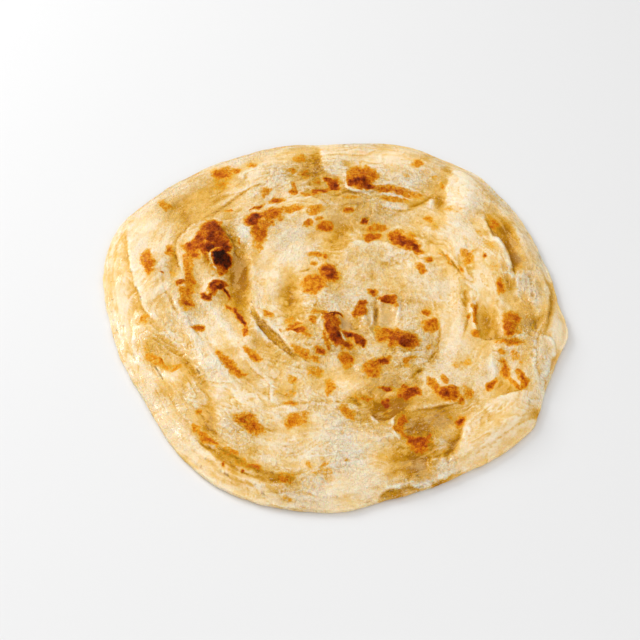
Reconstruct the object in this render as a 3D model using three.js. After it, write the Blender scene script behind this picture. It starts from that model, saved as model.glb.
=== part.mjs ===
// A paratha: a flaky flatbread, made from a rope of layered dough that is wound into a coil, rolled out flat
// and browned on a griddle. Its turns, the sheets that overlap along their edges, the blisters and the hollows
// between them are relief in one solid.
//
// Millimetres. The finished part's origin is on the table under the middle of its outline. +Z is up, +X is to
// the right and +Y is away from whoever sits in front of it. Angles are in degrees, anticlockwise from +X.
import * as THREE from "three";

// ---- Driving dimensions -----------------------------------------------------------------------------------

const DOUGH_THICKNESS = 5.6; // of the rolled dough, away from its folds
const RIM_MIDDLE = 1.6; // height of the outermost edge above the table
const RIM_REACH = 4.6; // how fast the top comes up behind the edge

// Distance from the middle to the edge, every OUTLINE_STEP degrees.
const OUTLINE_STEP = 10;
const OUTLINE_RADII = [
  92, 91.4, 92.3, 94.4, 96.4, 99, 99.5, 100.4, 99.2, 97.4, 98.9, 99, 100, 101, 102.3, 103.2, 99.8, 94.8, 90.6, 88,
  86.2, 86, 88.6, 91.8, 95.2, 96.6, 96.8, 97, 93.4, 92.9, 94, 96.2, 97.6, 94.6, 93.8, 95.6,
];

// The coil: each turn is a low swell between two grooves, and it runs outwards clockwise.
const COIL_CENTRE = [3, 4];
const COIL_PITCH = 26;
const COIL_START = 0.75; // share of a turn at which a groove crosses +X
const COIL_SWELL = 1.3;
const GROOVE_WIDTH = 3.2;
const COIL_INNER_RADIUS = 22; // inside it the rope is pleated and has no groove of its own

// A fold is the edge of a sheet that lies over the dough beside it. The sheet is on the left of its path.
const FOLD_HIGH_SHARE = 0.6; // how much of a fold's drop is the sheet standing proud; the rest is the dip beside it
const FOLD_REACH_HIGH = 9;
const FOLD_REACH_LOW = 4.5;
const FOLD_EDGE = 1; // width over which the sheet's edge falls

const FOLDS = [
  // West: the turn that lies over the thin outer rim, from north to south.
  { path: [[-86, 52], [-84, 42], [-83, 30], [-80.5, 18], [-76, 1], [-64, -14], [-54, -30], [-50, -38]], drop: 2.4 },
  // North-west: the long crease, and the sheet that bends round the large blister.
  { path: [[-10, 78], [-25, 75], [-38, 66], [-50, 55]], drop: -1.2 },
  { path: [[-50, 55], [-59, 48], [-63.5, 38], [-63.5, 30], [-60, 18]], drop: 1.3 },
  // North: a pleat that runs in from the edge, and two sheet edges across the turn.
  { path: [[-1, 97], [-2, 88], [-2, 82], [1, 77], [8, 74]], drop: 2.2 },
  { path: [[8.5, 76], [9.5, 69], [14, 65.5], [20, 65], [26, 69], [34, 67.5], [46, 60]], drop: 1.7 },
  { path: [[22, 58], [26, 53.5], [33, 52], [42, 56]], drop: 1.3 },
  // North-east: a pleat that runs in from the edge, and the lip of the inner turn.
  { path: [[57, 80], [54, 68], [50, 54], [49, 40]], drop: 2.4 },
  { path: [[40, 35], [46, 29.5], [51, 22], [56, 11]], drop: 1.6 },
  // East: the sheet over the long pocket, the edge of the thin outer lobe, and the ragged edge south of it.
  { path: [[74.5, 11], [74.3, 21], [71.5, 32], [66, 43], [65, 49]], drop: 2.4 },
  { path: [[83, -20], [86.5, -7], [88, 5], [85.5, 20]], drop: 1.5 },
  { path: [[79, -55], [82, -46], [82, -38], [86.5, -28], [85, -19]], drop: 2.2 },
  // The middle: the raised disc inside the first turn, all round.
  { path: [[-24, 50], [-32, 38], [-34.5, 26], [-33.5, 10], [-31, -1], [-23, -12.5], [-11, -28]], drop: 2.9 },
  { path: [[-16, -28], [-24, -20.5], [-30, -9], [-34, 5]], drop: 2 },
  { path: [[41, 20], [37, 29], [29, 34.5], [16, 36.5], [8, 35.5], [3, 24]], drop: 1.1 },
  { path: [[41, 4], [44, -12], [40, -27], [28, -39]], drop: 1.3 },
  // South: the corner of a sheet in front of the first turn, and the near and far lips of the deep pocket.
  { path: [[6, -49], [-8, -48.3], [-16, -48.3], [-27, -48.8]], drop: 1.2 },
  { path: [[-26.5, -31], [-26, -38], [-25.3, -47]], drop: 1.2 },
  { path: [[26, -56], [22.5, -58], [18, -59.5], [13.5, -58.5], [9, -54]], drop: 2.6 },
  { path: [[28, -53.5], [33, -52.5], [40, -51.5], [50, -50]], drop: 1.5 },
  // South-east: the puffed lobe.
  { path: [[77, -47.5], [68, -47], [59, -50.5], [48, -61], [42, -77]], drop: 2 },
];

// Sheets whose edges show along the rim: [from angle, to angle, distance in from the edge, drop].
const RIM_SHEETS = [
  [140, 204, 5, 1.5],
  [205, 262, 16, 2.2],
  [198, 270, 10.5, 1.6],
  [212, 292, 5, 1.3],
  [292, 330, 5, 1.2],
  [12, 56, 5, 1.3],
  [98, 135, 13, 1.1],
  [60, 96, 7, 0.9],
];

// Blisters and hollows: [x, y, half width, half length, turn of the length away from +Y, rise].
const BLISTERS = [
  [-50, 37, 7.5, 13, 15, 4.2], // the large browned blister
  [-49, 12, 6, 4, 60, 1.8],
  [-74, 28, 7, 24, 4, 1.4],
  [15, 72.5, 8, 7, 0, 2.2],
  [30, 63.5, 3.5, 10, 75, 1.5],
  [29, 55.5, 3, 6, 75, 1.2],
  [-30, 50, 5, 5, 0, 1.6],
  [-22, 54, 3, 7, -60, 1.3],
  [31, 35, 4.5, 8, 55, 1.4],
  [-1, 19, 3.2, 5.5, 15, 1.5],
  [-8, 14.5, 5, 6, 0, 1.1],
  [12, 24, 14, 9, 70, 0.9],
  [26, -17, 4.5, 8.5, 72, 1.5],
  [15, -32, 6, 6, 0, 1],
  [39, -11, 4, 4, 0, 1],
  [47, -14, 4, 17, -8, 1.4],
  [28, -45, 5, 5, 0, 1.2],
  [43, -45, 6, 5, 0, 1.3],
  [71, -13, 4.5, 7, -10, 1.6],
  [58, 55, 5, 24, -12, 1.2],
  [64, -62, 13, 15, -55, 2.8], // the puffed lobe
  [-36, -56, 7, 10, 70, 1.3],
  [-16, -56, 6, 8, -70, 1],
  [-50, -18, 5, 20, 25, 1.6],
  [0, -73, 9, 22, 85, 1],
  [15, -66, 8, 8, 0, 1],
];
const HOLLOWS = [
  [-38.5, 20, 5, 15, 3, -3.2], // between the large blister and the middle disc
  [-5.5, 83, 3.5, 8, 0, -1.9],
  [47.5, 58, 3.5, 8, 5, -1.9],
  [-17, 6, 4.5, 12, 0, -2],
  [62.5, -10, 4, 10, 0, -3.4], // the open pocket
  [54, 2, 1.8, 8, 0, -1.8],
  [76.5, 28, 4, 13, 10, -2.6],
  [17, -53, 7, 5, 0, -3.2],
  [30.5, -61, 4.5, 6, 0, -2.4],
  [-57, -33, 7, 11, 35, -1.8],
  [-48, -56, 4, 12, 0, -1.7],
  [-63, 61, 9, 9, 0, -1.5],
  [29, -78, 6, 11, 65, -2],
  [44, -70, 3, 9, -15, -1.4],
  [24, 47, 8, 20, 90, -0.9],
  [64, -44, 4.5, 5, 0, -1.2],
  [22, -5, 3, 6.5, 0, -1.5],
  [-66, 24, 2.5, 12, -8, -1.1],
  [-71, -20, 6, 6, 0, -1.1],
];

// The pleats where the rope starts, and the thin walls of dough beside the pockets: a path, a height above the
// dough and a half width.
const PLEATS = [
  { path: [[-4, -3], [-1, -10], [2, -18], [7, -24]], height: 2, half: 2.6 },
  { path: [[5, -9], [8, -15], [13, -20]], height: 1.6, half: 1.8 },
  { path: [[12, 3], [12.5, -6], [17, -20]], height: 1.9, half: 1.7 },
  { path: [[18, -2], [21, 4], [25.5, 4], [26.5, -3], [24, -12]], height: 1.4, half: 1.4 },
  { path: [[-7, 2], [-3, 10], [-3, 16]], height: 0.9, half: 2 },
  { path: [[56, 3], [57, -7], [59, -17]], height: 1.8, half: 1.3 },
  { path: [[-26, -4], [-34, -16], [-36, -30]], height: 1, half: 4 },
];

// Patches where thin flakes are torn and crumpled: [x, y, half width, half length, turn, height].
const CRUMPLES = [
  [80, 7, 6, 16, 4, 0.9],
  [81, -33, 4, 17, -3, 0.8],
  [38, -79, 8, 5, 20, 0.9],
  [30, -86, 14, 4, 18, 0.7],
  [-54, -77, 5, 12, 55, 0.5],
];
const CRUMPLE_WAVES = [
  [9.3, 12, 1.1],
  [12.9, 74, 3.7],
  [8.4, 131, 5.6],
];

// The slow waves of dough that has puffed and sunk unevenly: [wavelength, heading, phase, height].
const WAVES = [
  [71, 20, 0.8, 0.45],
  [53, 110, 2.1, 0.4],
  [37, 65, 4.4, 0.3],
  [29, 155, 1.3, 0.25],
  [19, 35, 5.2, 0.2],
  [14, 125, 3.4, 0.16],
];

// The mesh: rings round the middle, each with six more points than the last. The outermost are closer together.
const TOP_RINGS = 40;
const RIM_RING_INSETS = [0, 0.7, 2];
const SNAP_DISTANCE = 1.45; // a point this near a sheet's edge is moved onto it
const POINTS_PER_SPAN = 5; // on a path, between two of its given points

// The underside: [points round, inset from the edge, share of the way out, height] of each of its rings.
const UNDERSIDE_RINGS = [
  [200, 1.8, 1, 0.6],
  [140, 6.5, 1, 0],
  [80, 6.5, 0.7, 0],
  [36, 6.5, 0.35, 0],
  [12, 6.5, 0.12, 0],
];

// ---- Plan -------------------------------------------------------------------------------------------------

const radians = THREE.MathUtils.degToRad;
const gauss = (u) => Math.exp(-u * u);

// Distance from the middle to the edge at an angle in radians.
function outlineRadius(angle) {
  const count = OUTLINE_RADII.length;
  const place = (((angle / radians(OUTLINE_STEP)) % count) + count) % count;
  const i = Math.floor(place);
  const t = place - i;
  const [a, b, c, d] = [-1, 0, 1, 2].map((k) => OUTLINE_RADII[(i + k + count) % count]);
  return b + 0.5 * t * (c - a + t * (2 * a - 5 * b + 4 * c - d + t * (3 * (b - c) + d - a)));
}

function rimPoint(angle, inset) {
  const radius = outlineRadius(angle) - inset;
  return [radius * Math.cos(angle), radius * Math.sin(angle)];
}

// How far in from the edge a point is, along its own radius.
function insetAt(x, y) {
  return outlineRadius(Math.atan2(y, x)) - Math.hypot(x, y);
}

function smoothPath(points) {
  const curve = new THREE.CatmullRomCurve3(points.map(([x, y]) => new THREE.Vector3(x, y, 0)));
  return curve.getPoints((points.length - 1) * POINTS_PER_SPAN);
}

// The nearest place on a path: the distance to it, signed + on the left of the path, its share of the way along,
// and the direction from the path to its left.
function nearestOn(path, x, y) {
  let best = { distance: Infinity };
  for (let i = 0; i + 1 < path.length; i++) {
    const [a, b] = [path[i], path[i + 1]];
    const [dx, dy] = [b.x - a.x, b.y - a.y];
    const length = Math.hypot(dx, dy);
    const t = THREE.MathUtils.clamp(((x - a.x) * dx + (y - a.y) * dy) / length ** 2, 0, 1);
    const [ox, oy] = [x - a.x - t * dx, y - a.y - t * dy];
    const distance = Math.hypot(ox, oy);
    if (distance < Math.abs(best.distance)) {
      const side = dx * oy - dy * ox < 0 ? -1 : 1;
      best = { distance: side * distance, along: (i + t) / (path.length - 1), left: [-dy / length, dx / length] };
    }
  }
  return best;
}

// 1 along most of a path, and 0 at both of its ends.
const fade = (along) => Math.sin(Math.PI * along) ** 0.6;

const folds = FOLDS.map(({ path, drop }) => ({ path: smoothPath(path), drop }));
for (const [from, to, inset, drop] of RIM_SHEETS) {
  const steps = Math.ceil((to - from) / OUTLINE_STEP);
  const angles = Array.from({ length: steps + 1 }, (_, i) => radians(from + ((to - from) * i) / steps));
  folds.push({ path: smoothPath(angles.map((angle) => rimPoint(angle, inset))), drop });
}
const pleats = PLEATS.map(({ path, ...sizes }) => ({ path: smoothPath(path), ...sizes }));

// ---- Heights ----------------------------------------------------------------------------------------------

function coilLift(x, y) {
  const [dx, dy] = [x - COIL_CENTRE[0], y - COIL_CENTRE[1]];
  const radius = Math.hypot(dx, dy);
  const turns = radius / COIL_PITCH + Math.atan2(dy, dx) / (2 * Math.PI) - COIL_START;
  const fromGroove = COIL_PITCH * Math.abs(turns - Math.round(turns));
  const grown = THREE.MathUtils.smoothstep(radius, COIL_INNER_RADIUS, COIL_INNER_RADIUS + COIL_PITCH / 2);
  return COIL_SWELL * (0.5 - grown * gauss(fromGroove / GROOVE_WIDTH));
}

function foldLift({ path, drop }, x, y) {
  const { distance, along } = nearestOn(path, x, y);
  const outward = drop > 0 ? distance : -distance;
  const fallen = THREE.MathUtils.clamp(-outward / FOLD_EDGE, 0, 1);
  const high = FOLD_HIGH_SHARE * Math.exp(-Math.abs(outward) / FOLD_REACH_HIGH);
  const low = (FOLD_HIGH_SHARE - 1) * Math.exp(-Math.abs(outward) / FOLD_REACH_LOW);
  return Math.abs(drop) * fade(along) * THREE.MathUtils.lerp(high, low, fallen);
}

function moundLift([atX, atY, halfWidth, halfLength, turn, rise], x, y) {
  const [cos, sin] = [Math.cos(radians(turn)), Math.sin(radians(turn))];
  const across = ((x - atX) * cos + (y - atY) * sin) / halfWidth;
  const lengthways = ((y - atY) * cos - (x - atX) * sin) / halfLength;
  return rise * gauss(Math.hypot(across, lengthways));
}

function pleatLift(pleat, x, y) {
  const { distance, along } = nearestOn(pleat.path, x, y);
  return pleat.height * fade(along) * gauss(distance / pleat.half);
}

function waveLift([wavelength, heading, phase, height], x, y) {
  const along = x * Math.cos(radians(heading)) + y * Math.sin(radians(heading));
  return height * Math.sin((2 * Math.PI * along) / wavelength + phase);
}

function crumpleLift([atX, atY, halfWidth, halfLength, turn, height], x, y) {
  const inPatch = moundLift([atX, atY, halfWidth, halfLength, turn, height], x, y);
  return CRUMPLE_WAVES.reduce((total, wave) => total + waveLift([...wave, inPatch], x, y), 0);
}

const sum = (list, lift, x, y) => list.reduce((total, item) => total + lift(item, x, y), 0);

function topHeight(x, y) {
  const inset = Math.max(0, insetAt(x, y));
  const relief =
    coilLift(x, y) +
    sum(folds, foldLift, x, y) +
    sum(BLISTERS, moundLift, x, y) +
    sum(HOLLOWS, moundLift, x, y) +
    sum(pleats, pleatLift, x, y) +
    sum(CRUMPLES, crumpleLift, x, y) +
    sum(WAVES, waveLift, x, y);
  const grown = 1 - Math.exp(-inset / RIM_REACH);
  return RIM_MIDDLE + grown * (DOUGH_THICKNESS - RIM_MIDDLE + relief);
}

// ---- Mesh -------------------------------------------------------------------------------------------------

// A point that lies close to a sheet's edge, moved onto it.
function snapped(x, y) {
  for (const { path } of folds) {
    const { distance, along, left } = nearestOn(path, x, y);
    if (Math.abs(distance) < SNAP_DISTANCE && along > 0 && along < 1) {
      return [x - distance * left[0], y - distance * left[1]];
    }
  }
  return [x, y];
}

// A ring of points at a distance in from the edge, as indices into the list of points.
function addRing(points, count, inset, share, heightAt, snap) {
  return Array.from({ length: count }, (_, i) => {
    const angle = (2 * Math.PI * i) / count;
    let [x, y] = rimPoint(angle, inset).map((v) => v * share);
    if (snap) [x, y] = snapped(x, y);
    return points.push([x, y, heightAt(x, y)]) - 1;
  });
}

// Triangles between an outer ring and a smaller one inside it, both anticlockwise from the same angle.
function stitch(triangles, outer, inner) {
  let [o, i] = [0, 0];
  while (o < outer.length || i < inner.length) {
    const [a, b] = [outer[o % outer.length], inner[i % inner.length]];
    if ((o + 1) * inner.length <= (i + 1) * outer.length && o < outer.length) {
      triangles.push([a, outer[++o % outer.length], b]);
    } else {
      triangles.push([a, inner[++i % inner.length], b]);
    }
  }
}

function addMiddle(triangles, ring, middle) {
  ring.forEach((point, i) => triangles.push([point, ring[(i + 1) % ring.length], middle]));
}

function breadGeometry() {
  const points = [];
  const [top, underside] = [[], []];
  const edgeCount = 6 * TOP_RINGS;
  const plainInset = RIM_RING_INSETS.at(-1);
  const edge = addRing(points, edgeCount, 0, 1, () => RIM_MIDDLE, false);

  let outer = edge;
  for (const inset of RIM_RING_INSETS.slice(1)) {
    const ring = addRing(points, edgeCount, inset, 1, topHeight, false);
    stitch(top, outer, ring);
    outer = ring;
  }
  for (let k = TOP_RINGS - 1; k > 0; k--) {
    const ring = addRing(points, 6 * k, plainInset, k / TOP_RINGS, topHeight, k < TOP_RINGS - 1);
    stitch(top, outer, ring);
    outer = ring;
  }
  addMiddle(top, outer, points.push([0, 0, topHeight(0, 0)]) - 1);

  outer = edge;
  for (const [count, inset, share, height] of UNDERSIDE_RINGS) {
    const ring = addRing(points, count, inset, share, () => height, false);
    stitch(underside, outer, ring);
    outer = ring;
  }
  addMiddle(underside, outer, points.push([0, 0, 0]) - 1);

  const facingDown = underside.map(([a, b, c]) => [a, c, b]);
  const geometry = new THREE.BufferGeometry()
    .setAttribute("position", new THREE.Float32BufferAttribute(points.flat(), 3))
    .setIndex([...top, ...facingDown].flat());
  geometry.computeBoundingBox();
  const middle = geometry.boundingBox.getCenter(new THREE.Vector3());
  geometry.translate(-middle.x, -middle.y, 0);
  geometry.computeVertexNormals();
  return geometry;
}

const bakedDough = new THREE.MeshStandardMaterial({ color: 0xe8c98a, roughness: 0.55, metalness: 0 });

const bread = new THREE.Mesh(breadGeometry(), bakedDough);
bread.name = "paratha";

const part = new THREE.Group();
part.add(bread);

export default part;
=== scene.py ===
"""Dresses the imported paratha: its flaky, griddle-browned crust, on a pale floor in soft light.

Places and sizes of the dough's features are in millimetres, seen from above, with +Y away from whoever sits
in front of the bread. They are the ones its solid has, with the finer forms added. Blender's own units are
metres.
"""

import logging
import math
from dataclasses import dataclass, field
from enum import Enum

import bpy
import numpy as np
from mathutils import Matrix, Vector

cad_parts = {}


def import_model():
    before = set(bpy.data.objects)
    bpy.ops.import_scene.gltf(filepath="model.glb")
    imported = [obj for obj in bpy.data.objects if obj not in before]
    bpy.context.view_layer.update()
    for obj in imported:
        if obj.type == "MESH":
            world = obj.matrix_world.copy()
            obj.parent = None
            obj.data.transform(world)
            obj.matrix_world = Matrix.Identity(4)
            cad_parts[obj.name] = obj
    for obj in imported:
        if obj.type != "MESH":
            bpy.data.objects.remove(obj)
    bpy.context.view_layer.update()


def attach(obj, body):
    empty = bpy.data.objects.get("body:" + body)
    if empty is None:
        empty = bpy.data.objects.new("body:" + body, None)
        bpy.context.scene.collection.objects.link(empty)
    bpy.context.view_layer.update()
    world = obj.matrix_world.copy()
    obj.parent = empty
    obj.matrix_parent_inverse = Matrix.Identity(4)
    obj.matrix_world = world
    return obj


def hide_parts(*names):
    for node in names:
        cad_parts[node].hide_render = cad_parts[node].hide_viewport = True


LOG = logging.getLogger("paratha")
MM = 0.001
NODE = "paratha"
VALUES = ("amber", "pale", "brown", "crinkle")
Array = np.ndarray
Path = tuple[tuple[float, float], ...]
Colour = tuple[int, int, int]
Stops = tuple[tuple[float, Colour], ...]
Socket = bpy.types.NodeSocket


# ---- Seeded noise ----


class Noise:
    """Smooth seeded noise over a plane, measured in cells of its lattice."""

    SIZE = 256

    def __init__(self, seed: int) -> None:
        """Draws the lattice.

        Args:
            seed: The seed that fixes every value.
        """
        rng = np.random.default_rng(seed)
        self.values = rng.random((self.SIZE, self.SIZE)) * 2 - 1
        self.jitter = rng.random((self.SIZE, self.SIZE, 2))

    def smooth(self, u: Array, v: Array, turn: int = SIZE) -> Array:
        """Returns smooth values from -1 to 1.

        Args:
            u: First coordinate, in cells.
            v: Second coordinate, in cells.
            turn: The number of cells after which v repeats.

        Returns:
            One value for each point.
        """
        cell_u, cell_v = np.floor(u).astype(int), np.floor(v).astype(int)
        ease_u, ease_v = (t * t * t * (t * (6 * t - 15) + 10) for t in (u - cell_u, v - cell_v))
        low_u, high_u = cell_u % self.SIZE, (cell_u + 1) % self.SIZE
        low_v, high_v = cell_v % turn, (cell_v + 1) % turn
        near = self.values[low_u, low_v] * (1 - ease_u) + self.values[high_u, low_v] * ease_u
        far = self.values[low_u, high_v] * (1 - ease_u) + self.values[high_u, high_v] * ease_u
        return near * (1 - ease_v) + far * ease_v

    def rough(self, u: Array, v: Array, octaves: int = 3) -> Array:
        """Returns noise summed over octaves, each half as large and half as strong as the last."""
        return sum(self.smooth(u * 2**k + 17 * k, v * 2**k + 31 * k) / 2**k for k in range(octaves))

    def cells(self, u: Array, v: Array) -> tuple[Array, Array, Array]:
        """Scatters one point in each cell.

        Args:
            u: First coordinate, in cells.
            v: Second coordinate, in cells.

        Returns:
            The distances to the nearest and second nearest scattered point, and a value of -1 to 1 that
            belongs to the nearest.
        """
        cell_u, cell_v = np.floor(u).astype(int), np.floor(v).astype(int)
        nearest, second, value = np.full(u.shape, np.inf), np.full(u.shape, np.inf), np.zeros(u.shape)
        for step_u in (-1, 0, 1):
            for step_v in (-1, 0, 1):
                index = ((cell_u + step_u) % self.SIZE, (cell_v + step_v) % self.SIZE)
                offset = self.jitter[index]
                off_u, off_v = cell_u + step_u - u, cell_v + step_v - v
                distance = np.hypot(off_u + offset[..., 0], off_v + offset[..., 1])
                closer = distance < nearest
                second = np.where(closer, nearest, np.minimum(second, distance))
                nearest = np.where(closer, distance, nearest)
                value = np.where(closer, self.values[index], value)
        return nearest, second, value


def ease(low: float, high: float, value: Array) -> Array:
    """Returns 0 below low, 1 above high and a smooth rise between them; it falls where low is the larger."""
    t = np.clip((value - low) / (high - low), 0, 1)
    return t * t * (3 - 2 * t)


# ---- Features of the dough ----


def spline(a: Array, b: Array, c: Array, d: Array, t: Array) -> Array:
    """Returns values that run smoothly from b to c as t goes from 0 to 1, with a before them and d after."""
    return b + 0.5 * t * (c - a + t * (2 * a - 5 * b + 4 * c - d + t * (3 * (b - c) + d - a)))


def smooth_path(points: Path, per_span: int = 8) -> Array:
    """Runs a smooth curve through points.

    Args:
        points: The points, in order.
        per_span: The number of steps between two of them.

    Returns:
        The curve's points, one row each.
    """
    given = np.array(points, float)
    padded = np.vstack([2 * given[0] - given[1], given, 2 * given[-1] - given[-2]])
    t = np.linspace(0, 1, per_span, endpoint=False)[:, None]
    spans = (spline(*four, t) for four in zip(padded, padded[1:], padded[2:], padded[3:]))
    return np.vstack([*spans, given[-1]])


@dataclass(frozen=True)
class Nearest:
    """Where points lie beside a path: distance, + on its left; share of the way along; way to its left."""

    distance: Array
    along: Array
    left: Array


def nearest_on(path: Array, x: Array, y: Array) -> Nearest:
    """Finds the nearest place on a path for each point.

    Args:
        path: The path's points, one row each.
        x: The points' x.
        y: The points' y.

    Returns:
        Where each point lies beside the path.
    """
    start, step = path[:-1], np.diff(path, axis=0)
    length = np.hypot(step[:, 0], step[:, 1])
    dx, dy = x[:, None] - start[:, 0], y[:, None] - start[:, 1]
    t = np.clip((dx * step[:, 0] + dy * step[:, 1]) / length**2, 0, 1)
    off_x, off_y = dx - t * step[:, 0], dy - t * step[:, 1]
    distance = np.hypot(off_x, off_y)
    best = np.argmin(distance, axis=1)
    row = np.arange(len(x))
    side = np.where(step[best, 0] * off_y[row, best] - step[best, 1] * off_x[row, best] < 0, -1, 1)
    left = np.stack([-step[best, 1], step[best, 0]], axis=1) / length[best, None]
    return Nearest(side * distance[row, best], (best + t[row, best]) / len(step), left)


def beside(path: Array, margin: float, x: Array, y: Array) -> Array:
    """Finds the points in the upright box round a path.

    Args:
        path: The path's points, one row each.
        margin: How far the box stands out from the path.
        x: The points' x.
        y: The points' y.

    Returns:
        The indices of the points.
    """
    low, high = path.min(axis=0) - margin, path.max(axis=0) + margin
    return np.flatnonzero((x > low[0]) & (x < high[0]) & (y > low[1]) & (y < high[1]))


def fade(along: Array) -> Array:
    """Returns 1 along most of a path, and 0 at both of its ends."""
    return np.sin(np.pi * np.clip(along, 0, 1)) ** 0.6


@dataclass(frozen=True)
class Fold:
    """The edge of a sheet that lies over the dough beside it. The sheet is on the left of its path.

    Its drop is the height of the edge, edge the width over which it falls, lip how far it hangs over, amber
    how oily and thin the dough below it is, together with painted shade under the edge, reach how far that
    spreads, and pale how light the edge is: dry dough and a painted highlight.
    """

    path: Path
    drop: float
    edge: float = 0.7
    lip: float = 0.3
    amber: float = 0.35
    reach: float = 1.6
    pale: float = 0.3


@dataclass(frozen=True)
class Line:
    """A pleat, or where its height is negative a crease; brown is added to the griddle's marks. Amber along a
    crease is oil and painted shade, and pale along a pleat is dry dough and a painted highlight.
    """

    path: Path
    height: float
    half: float
    amber: float = 0.0
    pale: float = 0.0
    brown: float = 0.0


@dataclass(frozen=True)
class Oval:
    """An oval seen from above, by half its width and length, its length turned from +Y by degrees."""

    x: float
    y: float
    half_width: float
    half_length: float
    turn: float

    def distance(self, x: Array, y: Array) -> Array:
        """Measures how far points are from the middle.

        Args:
            x: The points' x.
            y: The points' y.

        Returns:
            The distances, as shares of the oval's own half sizes.
        """
        cos, sin = math.cos(math.radians(self.turn)), math.sin(math.radians(self.turn))
        across = ((x - self.x) * cos + (y - self.y) * sin) / self.half_width
        lengthways = ((y - self.y) * cos - (x - self.x) * sin) / self.half_length
        return np.hypot(across, lengthways)

    def soft(self, x: Array, y: Array) -> Array:
        """Returns 1 at the middle, falling smoothly to 0 outside the oval."""
        return np.exp(-(self.distance(x, y) ** 2))


@dataclass(frozen=True)
class Mound(Oval):
    """A blister, or where its rise is negative a hollow; the amber of a hollow is oil and painted shade."""

    rise: float
    amber: float = 0.0
    pale: float = 0.0


@dataclass(frozen=True)
class Stain(Oval):
    """A soft patch that is soaked with oil, or lighter where its depth is negative; a few are painted shade
    and a few painted light, as noted where they are listed.
    """

    depth: float


def stain(
    x: float, y: float, half_width: float, half_length: float, depth: float, turn: float = 0.0
) -> Stain:
    """Returns a stain, which isn't turned unless it says so."""
    return Stain(x, y, half_width, half_length, turn, depth)


@dataclass(frozen=True)
class Crumple(Oval):
    """A patch of thin torn flakes, standing this far up and down."""

    height: float


class Tone(Enum):
    """How far the griddle has browned a spot."""

    FAINT = 0.2
    GOLD = 0.36
    TOAST = 0.49
    RUSSET = 0.61
    BROWN = 0.73
    DARK = 0.81
    BURNT = 1.04


FAINT, GOLD, TOAST, RUSSET, BROWN, DARK, BURNT = Tone


@dataclass(frozen=True)
class Spot:
    """A browned oval of this whole width and length; its length is turned away from +Y."""

    x: float
    y: float
    width: float
    length: float
    turn: float
    tone: Tone

    def oval(self) -> Oval:
        """Returns the oval that the spot covers."""
        return Oval(self.x, self.y, self.width / 2, self.length / 2, self.turn)


@dataclass(frozen=True)
class Streak:
    """A browned line along a path, of this whole width."""

    path: Path
    width: float
    tone: Tone


@dataclass(frozen=True)
class RimSheet:
    """A thin sheet whose edge shows along the rim, from one angle to another, this far in and this high."""

    start: float
    end: float
    inset: float
    drop: float


@dataclass(frozen=True)
class Wave:
    """A slow wave of dough that has puffed and sunk unevenly, with its heading in degrees."""

    length: float
    heading: float
    phase: float
    height: float


@dataclass(frozen=True)
class Layering:
    """Thin layers: how wide and how many round a turn their patches are, their levels and height."""

    width: float
    around: int
    levels: float
    height: float


COIL_CENTRE = (3.0, 4.0)

OUTLINE_RADII = (
    92, 91.4, 92.3, 94.4, 96.4, 99, 99.5, 100.4, 99.2, 97.4, 98.9, 99, 100, 101, 102.3, 103.2, 99.8, 94.8,
    90.6, 88, 86.2, 86, 88.6, 91.8, 95.2, 96.6, 96.8, 97, 94.4, 94, 94.4, 96.2, 97.2, 93.4, 92.6, 95.4,
)  # fmt: skip

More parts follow.
